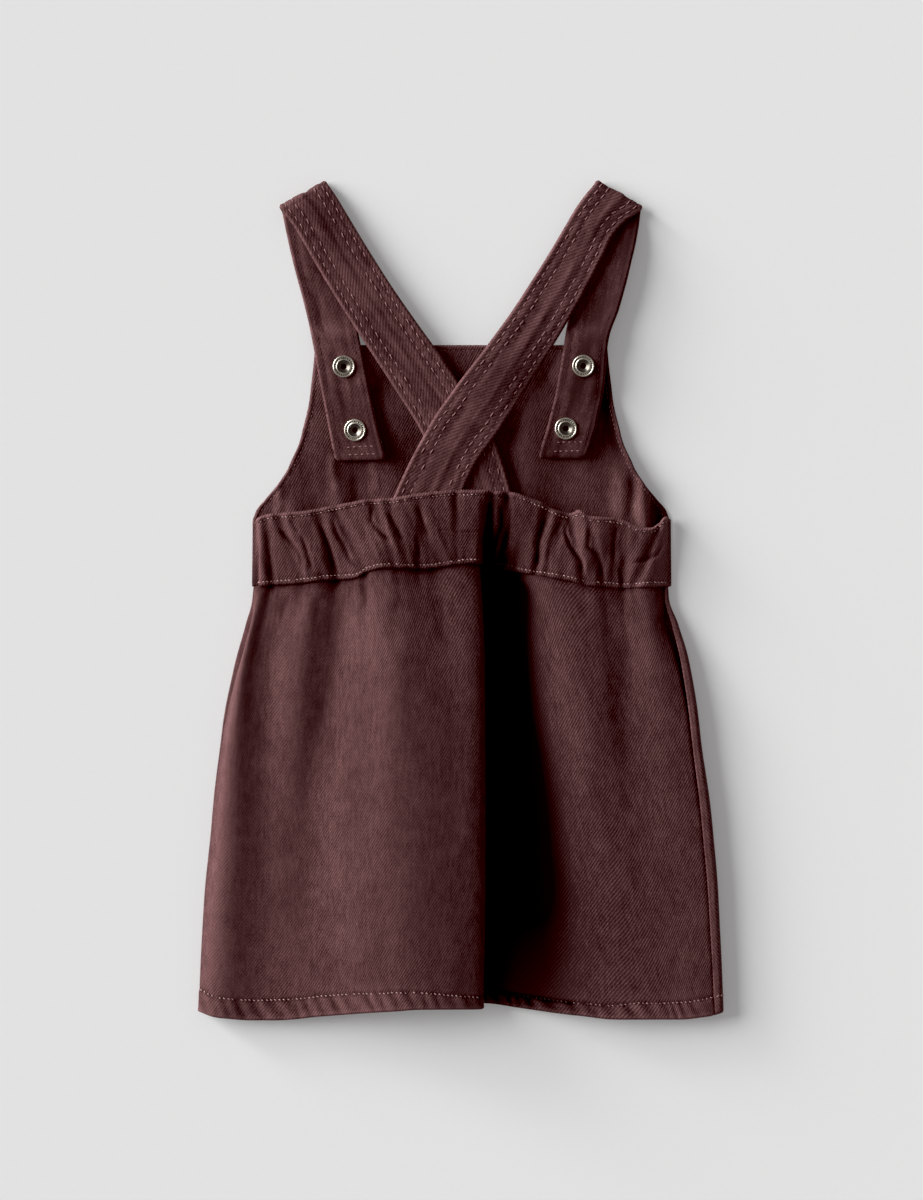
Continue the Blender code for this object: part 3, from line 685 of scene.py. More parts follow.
def inset_path(outer, edge, inset, start, end):
    """Points and normals of a path at this inset from an edge: top, bottom, left or right."""
    grid = {"top": outer, "bottom": outer[::-1], "left": outer.transpose(1, 0, 2),
            "right": outer.transpose(1, 0, 2)[::-1]}[edge]
    count = grid.shape[1]
    insets = np.broadcast_to(inset, (count,))
    steps = np.linalg.norm(np.diff(grid, axis=0), axis=2)
    depth = np.concatenate([np.zeros((1, count)), np.cumsum(steps, axis=0)])
    at = np.array([np.interp(insets[k], depth[:, k], np.arange(len(grid))) for k in range(count)])
    places = np.arange(count, dtype=float)
    keep = (places >= start * (count - 1)) & (places <= end * (count - 1))
    rows_at, columns_at = at[keep], places[keep]
    if edge == "bottom":
        rows_at = outer.shape[0] - 1 - rows_at
    if edge == "left":
        rows_at, columns_at = columns_at, rows_at
    if edge == "right":
        rows_at, columns_at = columns_at, outer.shape[1] - 1 - rows_at
    return along_grid(outer, rows_at, columns_at)


print("seam paths can be laid")

# %% [markdown]
# ## Stitches
#
# A machine stitch is a short arc of thread that dips into the cloth at both ends and draws it
# into a small pucker. Drawn in a bump map it would vanish at the edges of the view, so each is
# a small tube. A seam is given as a path on the upper face of the cloth, and the stitches are
# set along it at an even pitch, each turned to the cloth's own slope.

# %% Stitches
TUBE_SIDES = 6
TUBE = table(
    "along  rise  thick",
    (-0.5, -0.35, 0.55),
    (-0.34, 0.1, 0.95),
    (0.0, 0.22, 1.0),
    (0.34, 0.1, 0.95),
    (0.5, -0.35, 0.55),
)
STATION_COUNT = len(TUBE["along"])
STITCH_SIZE = STATION_COUNT * TUBE_SIDES
PITCH_JITTER = 0.08               # how far a stitch is off its even place, in pitches
PULL, PULL_JITTER = 0.12, 0.75    # how far it is pulled in and how unevenly, times three radii
STRAY, STRAY_LENGTH = 0.9, 7.0    # how far a row wanders aside, in radii, and over how many mm


def stitch_faces(count):
    """Faces of this many stitches, each an arc of tube with two closed ends."""
    faces = []
    for first in range(0, count * STITCH_SIZE, STITCH_SIZE):
        for station in range(STATION_COUNT - 1):
            for side in range(TUBE_SIDES):
                a = first + station * TUBE_SIDES + side
                b = first + station * TUBE_SIDES + (side + 1) % TUBE_SIDES
                faces.append((a, a + TUBE_SIDES, b + TUBE_SIDES, b))
        faces.append(tuple(range(first, first + TUBE_SIDES)))
        faces.append(tuple(range(first + STITCH_SIZE - 1, first + STITCH_SIZE - TUBE_SIDES - 1, -1)))
    return faces


def stitch_tubes(path, normals, pitch, length, radius, slant):
    """Points of the stitches along one path, and their number."""
    passed = np.concatenate([[0], np.cumsum(np.linalg.norm(np.diff(path, axis=0), axis=1))])
    read = lambda values, at: np.stack([np.interp(at, passed, values[:, k]) for k in range(3)], axis=1)
    count = int(passed[-1] // pitch)
    centres = (np.arange(count) + 0.5) * passed[-1] / max(count, 1)
    jitter = unevenness(centres, centres * 0.37, pitch, 5) * PITCH_JITTER * pitch
    at = ((centres + jitter)[:, None] + TUBE["along"][None] * length).ravel()
    middle, up = read(path, at), read(normals, at)
    up /= np.linalg.norm(up, axis=1, keepdims=True)
    run = read(path, at + 0.3) - read(path, at - 0.3)
    run /= np.maximum(np.linalg.norm(run, axis=1, keepdims=True), 1e-9)
    aside = np.cross(run, up)
    sunk = PULL_JITTER * unevenness(centres * 1.7, centres * 0.9, pitch, 6) - PULL
    rise = (TUBE["rise"][None] + sunk[:, None]).ravel()
    stray = STRAY * radius * unevenness(at, at * 0.6, STRAY_LENGTH, 8)
    sway = np.tile(TUBE["along"], count) * slant + stray
    middle = middle + up * (rise * radius * 3)[:, None] + aside * sway[:, None]
    angles = TWO_PI * np.arange(TUBE_SIDES) / TUBE_SIDES
    ring = aside[:, None] * np.cos(angles)[None, :, None] + up[:, None] * np.sin(angles)[None, :, None]
    thick = np.tile(TUBE["thick"], count)[:, None, None]
    return (middle[:, None] + ring * radius * thick).reshape(-1, 3), count


print("a stitch has", STITCH_SIZE, "points")

# %% [markdown]
# ## Sewing
#
# A seam has hundreds of stitches, and an object for each would make the scene slow. So all the
# rows of one kind on a piece are one object. Where a seam runs into the deep valley of the
# skirt, painted shade darkens its thread with the cloth around it.

# %% Sewing
def sew(name, seams, material, sunk=None):
    """One object with all the stitches of several seams: ((path, normals), stitch) for each.

    The table sunk says along x how much painted shade darkens the thread, from 0 to 1.
    """
    rows = [stitch_tubes(*path, **stitch) for path, stitch in seams]
    points = np.concatenate([row for row, _ in rows])
    total = sum(count for _, count in rows)
    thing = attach(mesh_object(name, points, stitch_faces(total), material), "root")
    depth = np.zeros(len(points)) if sunk is None else smooth(points[:, 0], sunk["x"], sunk["share"])
    thing.data.attributes.new("recess", "FLOAT", "POINT").data.foreach_set("value", depth)
    print(name, "has", total, "stitches")
    return thing


print("seams can be sewn")

# %% [markdown]
# ## Sizes of the front panel
#
# The front panel is the bib and the flat front of the skirt. It lies face down on the table, so
# it is flat but for a few soft folds and the two front buttons that push it up. Its
# outline runs from the bib's top down the armhole curve to the side seam.

# %% Sizes of the front panel
FRONT_CLOTH = 1.5
BIB_TOP = 164.9
WAIST_SEAM = 8.2
BUTTONS = {
    "front_button_left": (-76.1, 151.2),
    "front_button_right": (79.3, 151.6),
}

# Half width of the front panel above the waist: bib, armhole curve and side
BIB_EDGE = table(
    "y     half_width",
    (164.9, 94.3),
    (141.4, 96.7),
    (111.6, 102.2),
    (90.0, 110.0),
    (77.8, 116.6),
    (64.8, 127.0),
    (55.1, 133.7),
    (49.2, 135.0),
    (8.0, 134.2),
)
print("bib:", 2 * BIB_EDGE["half_width"][0], "mm wide at the top")

# %% [markdown]
# ## What lifts the front panel
#
# A washed panel never lies quite flat, and its folds are long, low and soft. Each is a line with
# a height and a width, and all of them die out below the waist, where the skirt presses the panel
# down. The two buttons push up a flat-topped hump each, and the higher of hump and folds counts.

# %% What lifts the front panel
BUTTON_HUMP = 2.7
BUTTON_FLAT = 13.0
BUTTON_SLOPE = 29.0
RISE_FROM_Y = -24.0
RISE_FULL_Y = 0.0
RISE_TO_X = 131.0
RISE_FADE_X = 12.0
BIB_FOLDS = (
    # x_top, y_top, x_low, y_low, height, half_width
    (-112.0, 74.0, -106.0, 12.0, 2.6, 7.0),
    (-78.0, 88.0, -84.0, 12.0, 2.4, 8.0),
    (-40.0, 150.0, -52.0, 20.0, 3.0, 13.0),
    (18.0, 158.0, 12.0, 34.0, 2.2, 13.0),
    (46.0, 160.0, 40.0, 34.0, 2.8, 12.0),
    (103.0, 104.0, 104.0, 12.0, 2.6, 7.0),
    (117.0, 72.0, 119.0, 12.0, 3.0, 5.5),
    (99.0, 150.0, 128.0, 42.0, 4.5, 9.0),
    (80.0, 240.0, 120.0, 40.0, 2.4, 10.0),
)


def front_rise(x, y):
    """How far the folds and the buttons lift the front panel off the table."""
    lift = np.zeros(np.broadcast(x, y).shape)
    for x_top, y_top, x_low, y_low, height, half_width in BIB_FOLDS:
        along = (y - y_low) / (y_top - y_low)
        centre = x_low + (x_top - x_low) * along
        fade = ease(1 + 3 * along) * ease(3 * (1 - along))
        lift = lift + height * fade * bump(x - centre, half_width)
    lift = lift * ease((y - RISE_FROM_Y) / (RISE_FULL_Y - RISE_FROM_Y))
    lift = lift * ease((RISE_TO_X - abs(x)) / RISE_FADE_X)
    for button_x, button_y in BUTTONS.values():
        away = np.hypot(x - button_x, y - button_y)
        hump = BUTTON_HUMP * ease((BUTTON_SLOPE - away) / (BUTTON_SLOPE - BUTTON_FLAT))
        lift = np.maximum(lift, hump)
    return lift


print("folds of the front panel:", len(BIB_FOLDS))

# %% [markdown]
# ## The bib
#
# We look at the wrong side of the bib. Its top and armholes are turned in and sewn down once,
# which leaves a thin rolled edge that catches the light and a stitch line just inside it. Where
# the waistband pulls on it, short creases stand up from the waist. The grid has closer rows and
# columns in the turned edge, so that the roll and the groove of the stitches come out sharp.

# %% The grid of the bib
BIB_SPACING = 1.9
BIB_EDGE_STEPS = np.array([0.0, 0.4, 1.2, 2.4, 3.2, 4.0, 5.6])
BIB_EDGE_WIDTH = 7.4
BIB_CREASES = (
    # points from the top down, depth, width, lift
    ([(-120, 76), (-118, 62), (-121, 50)], -1.4, 2.6, 0.0),
    ([(-83, 98), (-84, 84), (-80, 66)], -1.3, 3.0, 0.0),
    ([(-56, 100), (-57, 86), (-54, 66)], -0.9, 3.0, 0.0),
    ([(-100, 118), (-103, 92), (-96, 62)], 0.7, 5.0, 0.0),
    ([(-69, 84), (-70, 72), (-66, 58)], 0.6, 3.0, 0.0),
    ([(44, 150), (42, 120), (38, 84)], -0.8, 6.0, 0.0),
    ([(96, 140), (98, 116), (92, 90)], 0.7, 4.0, 0.0),
    ([(110, 84), (111, 68), (108, 50)], 1.4, 2.4, 0.8),
    ([(116, 86), (118, 70), (114, 52)], -1.2, 2.2, 0.0),
    ([(124, 64), (123, 54), (124, 44)], 1.2, 1.8, 0.0),
)


def bib_creases(x, y):
    """Height of the bib's small creases."""
    rise = np.zeros(x.shape)
    for line, depth, width, lift in BIB_CREASES:
        rise = rise + crease(x, y, line, depth, width, lift)
    return rise


def bib_grid(spacing):
    """Middle points of the bib, with closer rows and columns at its edges."""
    rows = round((BIB_TOP - WAIST_SEAM) / spacing)
    columns = round(2 * BIB_EDGE["half_width"].max() / spacing)
    inner_y = np.linspace(BIB_TOP - BIB_EDGE_WIDTH, WAIST_SEAM, rows)
    y = np.concatenate([BIB_TOP - BIB_EDGE_STEPS, inner_y])
    half = smooth(y, BIB_EDGE["y"], BIB_EDGE["half_width"])[:, None]
    inner_x = np.linspace(-1, 1, columns)[None] * (half - BIB_EDGE_WIDTH)
    x = np.concatenate([-half + BIB_EDGE_STEPS, inner_x, half - BIB_EDGE_STEPS[::-1]], axis=1)
    y = np.broadcast_to(y[:, None], x.shape)
    from_side = np.minimum(half - np.abs(x), BIB_TOP - y)
    z = front_rise(x, y) + bib_creases(x, y) + FRONT_CLOTH / 2
    z = z + 0.25 * unevenness(x, y, 17.0, 11) * ease(from_side / 12)
    return np.stack([x, y, z], axis=2), from_side


bib_middle, from_edge = bib_grid(BIB_SPACING)
bib_x, bib_y = bib_middle[:, :, 0], bib_middle[:, :, 1]
print("bib:", bib_middle.shape[0], "rows of", bib_middle.shape[1], "points")

# %% [markdown]
# ## The bib's edge and shade
#
# The turned edge stands up a little, its stitch row draws a groove, and the row puckers the cloth
# beside it. Rubbing pales the roll of the edge. Painted shade darkens the hollows, two patches by
# the end of the left strap get a painted shadow, and painted shade darkens the right side all along
# its armhole, where it turns away from the light.

# %% The bib's cloth
BIB_EDGE_STITCH = 3.2
BIB_PAINTED_SHADOWS = (
    # x, y, half_width, half_height, depth of the painted shadow
    (-80.0, 84.0, 34.0, 26.0, 0.7),      # below the end of the left strap
    (-44.0, 106.0, 7.0, 20.0, 0.7),      # beside that end
)
FLANK_X, FLANK_Y = 80.0, 150.0           # where the shaded flank starts
FLANK_LEAN = 0.27                        # and how far it moves out for each mm down
FLANK_SOFTNESS = 8.0

bib_roll = 0.45 * bump(from_edge - 0.8, 0.9)
bib_groove = 0.35 * bump(from_edge - BIB_EDGE_STITCH, 0.9)
bib_pucker = 0.16 * unevenness(bib_x, bib_y, 3.4, 12) * bump(from_edge - 2.4, 2.2)
past_flank = bib_x - FLANK_X - FLANK_LEAN * (FLANK_Y - bib_y)
armhole_painted_shade = ease(past_flank / FLANK_SOFTNESS) * (0.4 + 0.9 * ease((bib_y - 62.0) / 26))
# painted shade in the hollows and on the right armhole's flank; the rolled edge is rubbed paler
bib_dye_and_shade = recess_of(bib_middle, 4, 1.4) - 0.5 * bump(from_edge - 0.6, 1.1) + armhole_painted_shade
# painted shadows by the end of the left strap
for x, y, half_width, half_height, recess in BIB_PAINTED_SHADOWS:
    bib_dye_and_shade = bib_dye_and_shade + recess * bump(bib_x - x, half_width) * bump(bib_y - y, half_height)
front_bib, bib_face, _ = make_cloth(
    "front_bib_cloth", bib_middle, FRONT_CLOTH, twill_inside, (bib_x, bib_y), bib_dye_and_shade,
    bib_roll - bib_groove + bib_pucker, upright=True)
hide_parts("front_bib")
print("bib:", len(front_bib.data.polygons), "faces,", round(sheet_area(front_bib), 4), "m2")

# %% [markdown]
# ## The waistband
#
# The back waist is a casing with wide elastic in it. Sewn while stretched, the elastic pulls the
# casing into upright gathers: puffs with narrow dark grooves between them, each leaning its own
# way. The edges of the band are two curves, the gathers are the table that the solid has too,
# and the sharp grooves are creases.

# %% Sizes of the waistband
# The band's two edges, and the height of its top edge
BAND = table(
    "x      top_y  bottom_y top_z",
    (-135.0, 49.3, 8.9, 3.5),
    (-130.5, 53.0, 9.1, 8.0),
    (-120.0, 55.3, 9.8, 9.5),
    (-103.0, 56.6, 10.9, 12.0),
    (-88.0, 59.2, 12.8, 12.5),
    (-70.0, 62.6, 13.8, 14.5),
    (-60.0, 64.3, 18.4, 15.5),
    (-47.0, 64.9, 20.6, 17.0),
    (-26.0, 68.2, 20.0, 18.0),
    (8.0, 70.2, 23.7, 18.5),
    (27.0, 69.3, 20.3, 16.0),
    (50.0, 63.3, 15.6, 15.5),
    (71.4, 55.4, 12.2, 14.0),
    (76.0, 57.4, 10.8, 16.0),
    (84.0, 53.4, 9.1, 17.5),
    (97.0, 52.4, 8.2, 15.0),
    (107.0, 50.0, 7.6, 14.0),
    (121.0, 45.8, 8.6, 12.5),
    (128.6, 49.3, 8.8, 10.5),
    (132.5, 52.9, 8.9, 8.0),
    (135.7, 51.8, 9.0, 3.5),
)

# Grooves between its gathers
GATHERS = (
    # x_top, x_bottom, depth_top, depth_bottom, half_width
    (-127.0, -123.0, 1.2, 1.8, 2.8),
    (-119.0, -103.0, 1.6, 1.3, 3.2),
    (-93.0, -81.0, 1.2, 1.4, 2.6),
    (-83.0, -62.0, 1.7, 1.9, 3.2),
    (-58.0, -42.0, 2.0, 1.0, 3.2),
    (-48.0, -34.0, 1.6, 0.8, 2.8),
    (-30.0, -19.0, 1.0, 0.7, 3.0),
    (-25.0, -28.0, 0.2, 0.9, 2.6),
    (-3.5, -2.0, 2.0, 0.4, 2.6),
    (20.0, 18.0, 2.2, 0.8, 2.8),
    (30.0, 26.0, 2.4, 0.8, 2.8),
    (56.0, 48.0, 1.5, 1.7, 3.0),
    (66.0, 55.0, 1.1, 1.2, 3.0),
    (69.0, 79.0, 1.9, 1.3, 2.8),
    (82.0, 92.0, 1.0, 1.3, 2.8),
    (101.0, 99.0, 1.1, 0.9, 2.8),
    (105.0, 105.0, 0.3, 2.2, 2.6),
    (128.0, 112.0, 2.6, 1.6, 3.4),
)


def gather(x, down):
    """Depth of the gathers: down is 0 at the waistband's top edge and 1 at its seam."""
    drop = np.zeros(np.broadcast(x, down).shape)
    for x_top, x_bottom, depth_top, depth_bottom, half_width in GATHERS:
        centre = x_top + (x_bottom - x_top) * down
        depth = depth_top + (depth_bottom - depth_top) * np.clip(down, 0, 1)
        drop = drop + depth * bump(x - centre, half_width)
    return drop


print("gathers:", len(GATHERS))

# %% [markdown]
# ## Sizes of the skirt
#
# The back skirt is given by its section at four heights. Each section is a row of control
# points, and the cloth bends softly towards them: a rim on the left, the great fold, a lip,
# the return under it, the valley floor and the slopes on the right. The same points
# exist at every height, so a fold runs on from the waist to the hem.

# %% Sizes of the skirt
STATIONS = (24.0, -55.0, -165.0, -268.0)

# Outline of the skirt, and the side seam on its right
SIDES = table(
    "y      left_x  right_x seam_x seam_z",
    (24.0, -134.5, 134.7, 131.8, 4.0),
    (6.0, -135.2, 134.7, 131.8, 4.2),
    (-15.5, -139.9, 140.9, 136.5, 6.0),
    (-46.5, -148.2, 149.4, 143.6, 8.6),
    (-96.0, -156.7, 156.4, 150.1, 10.0),
    (-155.0, -163.0, 164.0, 156.8, 10.0),
    (-213.0, -168.0, 168.0, 161.2, 9.8),
    (-268.0, -170.4, 170.4, 164.0, 9.2),
)

# Folds of the back skirt, as control points of its section, from left to right
FOLDS = table(
    "x_waist x_upper x_lower x_hem  z_waist z_upper z_lower z_hem",
    (-130.0, -146.0, -155.0, -160.0, 8.5, 12.0, 13.5, 11.2),   # rim
    (-121.0, -133.0, -131.0, -138.0, 7.2, 6.8, 7.6, 7.4),      # hollow beside the rim
    (-99.0, -108.0, -110.0, -109.0, 14.2, 13.0, 9.4, 9.6),     # flank ridge
    (-80.0, -89.0, -93.0, -92.0, 9.6, 8.4, 11.6, 12.4),        # flank dip
    (-66.0, -68.0, -72.0, -68.0, 16.0, 19.5, 21.5, 18.6),      # shoulder
    (-48.0, -43.0, -44.0, -44.0, 20.0, 26.0, 27.5, 25.0),      # crest of the great fold
    (-25.0, -12.0, -10.0, -10.0, 14.5, 19.0, 22.5, 21.5),
    (-2.0, 6.5, 7.0, 6.0, 18.0, 18.0, 18.6, 18.0),
    (10.0, 14.9, 15.2, 13.6, 17.0, 15.2, 15.2, 14.5),          # lip
    (12.5, 14.9, 15.2, 13.6, 14.0, 9.2, 8.8, 8.6),
    (13.8, 5.0, 3.0, 3.0, 11.6, 7.4, 7.2, 7.0),                # return under the lip
    (14.6, -8.0, -12.0, -11.0, 9.8, 7.1, 7.0, 6.9),
    (15.4, -17.0, -21.0, -20.0, 8.4, 7.0, 6.9, 6.8),           # turn
    (16.4, -17.0, -21.0, -20.0, 7.2, 3.0, 3.0, 3.0),
    (18.0, -8.0, -12.0, -11.0, 6.2, 3.0, 3.0, 3.0),            # floor of the valley
    (26.0, 28.0, 30.0, 28.0, 5.6, 3.2, 3.1, 3.1),
    (34.0, 41.0, 47.0, 46.0, 7.5, 6.0, 5.6, 4.8),              # foot of the right slope
    (45.0, 56.0, 65.0, 70.0, 13.5, 13.0, 12.0, 10.2),
    (60.0, 75.0, 86.0, 95.0, 15.5, 15.8, 14.6, 12.6),          # right ridge
    (84.0, 91.0, 105.0, 118.0, 13.5, 14.2, 13.2, 11.8),
    (100.0, 105.0, 119.0, 134.0, 9.0, 10.0, 11.2, 11.0),       # slanting dip
    (118.0, 127.0, 140.0, 150.0, 12.5, 12.0, 11.0, 10.6),      # outer ridge
)

# Places along the control points: three lead in before the first fold
LIP = 11
TURN = 15
RIGHT_RIDGE = 21
print("skirt:", len(FOLDS["x_waist"]), "control points at", len(STATIONS), "heights")

# %% [markdown]
# ## The hem lines of the skirt
#
# The hem is one line on the cut piece, but on the table it is two: the great fold ends a little
# lower than the cloth that runs on under its lip. Both lines are tables of a few points, and a
# smooth curve goes through them.

# %% The hem lines of the skirt
# Hem line of the great fold, and of the cloth to the right of its lip
HEM_LEFT = table(
    "x      y",
    (-170.0, -267.0),
    (-154.6, -271.0),
    (-126.4, -272.4),
    (-91.1, -269.6),
    (-41.7, -265.6),
    (-20.9, -264.6),
    (14.0, -264.9),
)
HEM_RIGHT = table(
    "x      y",
    (-20.0, -260.5),
    (13.0, -261.5),
    (35.9, -264.3),
    (79.5, -269.6),
    (107.8, -271.7),
    (135.7, -271.7),
    (156.9, -270.3),
    (170.0, -267.2),
)

hem_rise = HEM_RIGHT["y"][1] - HEM_LEFT["y"][-1]
print("the hem to the right of the lip lies", round(float(hem_rise), 1), "mm higher")

# %% [markdown]
# ## The section of the skirt
#
# Any height between the four stations gets its own section: each control point follows a smooth
# curve from the waist to the hem, and the cloth is a spline towards the points. The first three
# points turn the left edge up from the seam, and the last one is the side seam on the right.

# %% The section of the skirt
CLOTH = 1.3
SEAM_GAP = 0.3


def skirt_controls(y):
    """Control points (x, z) of the back skirt's section at each height, from side to side."""
    left = smooth(y, SIDES["y"], SIDES["left_x"])
    rest = np.full(y.shape, FRONT_CLOTH + SEAM_GAP + CLOTH / 2)
    xs = [left + 3.0, left + CLOTH / 2 - 0.2, left + CLOTH / 2]
    zs = [rest, rest + 0.6, rest + 4.0]
    for fold in range(len(FOLDS["x_waist"])):
        for axis, column in (("x_", xs), ("z_", zs)):
            values = [FOLDS[axis + height][fold] for height in ("waist", "upper", "lower", "hem")]
            column.append(smooth(y, STATIONS, values))
    xs.append(smooth(y, SIDES["y"], SIDES["seam_x"]))
    zs.append(smooth(y, SIDES["y"], SIDES["seam_z"]))
    return np.stack([xs, zs], axis=2)


def section_at(height, places):
    """The back skirt's section at one height: x and z at these places."""
    return bspline(skirt_controls(np.full(len(places), height)), places)


def section_places(spacing):
    """Places along the control points, about one for each spacing, four or more for each span."""
    spans = np.linalg.norm(np.diff(skirt_controls(np.array([STATIONS[2]]))[:, 0], axis=0), axis=1)
    places = [0.0]
    for index, span in enumerate(spans):
        steps = max(4, round(span / spacing))
        places.extend(index + (step + 1) / steps for step in range(steps))
    return np.array(places)


crest = section_at(STATIONS[1], np.linspace(0, LIP, 200))[:, 1].max()
print("the great fold is", round(float(crest), 1), "mm high a little below the waist")

# %% [markdown]
# ## The small creases of the waistband
#
# Between the gathers the cloth is pinched into sharp little creases, which run down from the top
# edge, bend and fade out. One side of most of them stands higher, where the elastic pushes the
# cloth over. They are far finer than the gathers of the solid, so they are added here.

# %% The small creases of the waistband
BAND_CREASES = (
    # points from the top down, depth, width, lift
    ([(-127, 47), (-123, 15)], 0.8, 1.5, 0.0),
    ([(-119, 47), (-111, 38), (-105, 30), (-102, 20)], 1.5, 1.4, 0.6),
    ([(-111, 52), (-105, 43)], 0.8, 1.2, 0.4),
    ([(-104, 43), (-100, 32), (-96, 18)], 1.3, 1.2, 0.6),
    ([(-92, 50), (-88, 40), (-85, 33), (-81, 17)], 1.3, 1.3, 0.7),
    ([(-84, 55), (-81, 43), (-76, 36), (-72, 26), (-65, 18)], 1.3, 1.5, 0.7),
    ([(-58, 62), (-58, 51), (-52, 43), (-44, 37)], 1.4, 1.5, 0.8),
    ([(-48, 58), (-37, 37)], 1.0, 1.4, 0.0),
    ([(-29, 62), (-21, 40)], 1.1, 1.4, 0.5),
    ([(-29, 43), (-27, 26)], 0.8, 1.4, 0.0),
    ([(18, 66), (18, 50), (14, 34)], 1.6, 1.8, 0.0),
    ([(26, 64), (26, 48), (20, 30)], 1.6, 1.6, 0.4),
    ([(33, 62), (31, 46), (28, 30)], 1.0, 1.4, 0.0),
    ([(55, 55), (50, 36), (49, 20)], 1.3, 1.5, 0.6),
    ([(66, 53), (59, 41), (55, 24)], 0.9, 1.4, 0.3),
    ([(68, 51), (67.5, 43), (71, 34), (78, 25), (78.5, 14)], 1.7, 1.2, 1.2),
    ([(83, 50), (82, 34), (89, 29), (91, 20), (92, 10)], 1.2, 1.3, 0.6),
    ([(100.6, 48), (98.7, 36), (98.7, 24)], 1.1, 1.3, 0.4),
    ([(102.5, 22), (104.5, 10)], 1.2, 1.4, 0.0),
    ([(109, 23), (119.5, 26), (127, 29), (130.5, 36), (130.5, 46)], 1.1, 1.5, -0.9),
)
print("small creases:", len(BAND_CREASES))

# %% [markdown]
# ## The grid of the waistband
#
# Its rows run from the top edge down to the seam with the skirt, whose height is that of the
# skirt's own section. They lie closer at both edges. At the side seams the band bends down onto
# the front panel, over the last few millimetres.

# %% The grid of the waistband
BAND_CLOTH = 2.4
BAND_COLUMNS = 252
BAND_ROWS = 38
BAND_EDGE_SHARES = np.array([0, 0.012, 0.03])
SIDE_SEAM = 2.4       # how far from its ends the waistband bends down onto the front
SIDE_FADE = 8.0       # how far from its ends the gathers reach their full depth


def band_grid(rows, columns):
    """Middle points of the waistband, and how full its gathers are: 0 at its ends, then up to 1."""
    waist = section_at(STATIONS[0], np.linspace(0, len(FOLDS["x_waist"]) + 3, 400))
    x = np.linspace(BAND["x"][0], BAND["x"][-1], columns + 1)
    seam_x = [*waist[:, 0], BAND["x"][-1]]
    seam_z = np.interp(x, seam_x, [*waist[:, 1], waist[0, 1]]) + (BAND_CLOTH - CLOTH) / 2
    top_y = smooth(x, BAND["x"], BAND["top_y"])
    bottom_y = smooth(x, BAND["x"], BAND["bottom_y"]) + SEAM_GAP / 2
    top_z = smooth(x, BAND["x"], BAND["top_z"])
    edges = ease((x - x[0]) / SIDE_FADE) * ease((x[-1] - x) / SIDE_FADE)
    shares = [BAND_EDGE_SHARES, np.linspace(0.05, 0.95, rows), 1 - BAND_EDGE_SHARES[::-1]]
    down = np.concatenate(shares)[:, None]
    y = top_y + (bottom_y - top_y) * down
    z = top_z + (seam_z - top_z) * ease(down) - gather(x, down) * edges
    sewn = ease(1 - (x - x[0]) / SIDE_SEAM) + ease(1 - (x[-1] - x) / SIDE_SEAM)
    z = z + (FRONT_CLOTH + BAND_CLOTH / 2 - SEAM_GAP - z) * sewn
    return np.stack([np.broadcast_to(x, y.shape), y, z], axis=2), edges


band_middle, band_ends = band_grid(BAND_ROWS, BAND_COLUMNS)
print("waistband:", band_middle.shape[0], "rows of", band_middle.shape[1], "points")

# %% [markdown]
# ## The waistband's cloth
#
# Two rows of pale stitches close the casing, a few millimetres inside each edge. Between a
# stitch row and the edge the cloth rolls over, and tiny puckers form at every stitch. The end of
# a strap is sewn behind the centre back and shows through as a soft rectangle.

# %% The waistband's cloth
BAND_STITCH = 2.6
PATCH_LEFT, PATCH_RIGHT = -4.0, 13.5
PATCH_LOW, PATCH_TOP = 44.0, 68.5
PATCH_HEIGHT = 0.5
GATHERED_IN = 1.06    # mm of the cut piece for each mm across
BAND_SHADE_LEAN = 9.0

# Painted shade along the band, darkest by the valley of the skirt, and painted light at its right end
BAND_PAINTED_SHADE = table(
    "x      recess",
    (-135.0, 0.2),
    (-110.0, 0.45),
    (-62.0, 0.35),
    (-45.0, 0.45),
    (-20.0, 0.7),
    (6.0, 0.85),
    (14.0, 0.85),
    (22.0, 1.2),
    (34.0, 1.1),
    (46.0, 0.8),
    (60.0, 0.4),
    (80.0, 0.2),
    (112.0, 0.1),
    (124.0, -0.3),
    (135.0, -0.6),
)

x, y = band_middle[:, :, 0], band_middle[:, :, 1]
from_top, from_seam = y[0] - y, y - y[-1]
fold = np.zeros(x.shape)
for line, depth, width, lift in BAND_CREASES:
    fold = fold + crease(x, y, line, depth, width, lift, 5.0, 0.2)
slanted = x + y * np.where(x < 0, 0.4, -0.25)
fine = 0.42 * unevenness(slanted, y * 0.22, 3.4, 21) + 0.4 * unevenness(slanted, y * 0.4, 7.0, 22)
in_patch = ease((x - PATCH_LEFT) / 1.2) * ease((PATCH_RIGHT - x) / 1.2)
in_patch = in_patch * ease((y - PATCH_LOW) / 1.5) * ease((PATCH_TOP - y) / 1.2)
band_relief = (fold + fine * (1 - 0.7 * in_patch)) * band_ends + PATCH_HEIGHT * in_patch
band_middle[:, :, 2] += band_relief * ease(from_top / 1.5 + 0.4) * ease(from_seam / 1.5 + 0.4)
roll = 0.5 * bump(from_top - 1.0, 1.1) + 0.4 * bump(from_seam - 0.8, 0.9)
groove = 0.5 * bump(from_top - BAND_STITCH, 0.9) + 0.5 * bump(from_seam - BAND_STITCH, 0.9)
tight = unevenness(x, y * 0.3, 2.3, 23) * (bump(from_top - 2.4, 2.6) + bump(from_seam - 2.2, 2.6))
# painted shade between the gathers, partly deeper dye; the top edge is rubbed paler
band_dye_and_shade = recess_of(band_middle, 4, 1.6) - 0.7 * bump(from_top - 0.5, 1.0) + 0.3 * tight
down = from_top / (from_top + from_seam)
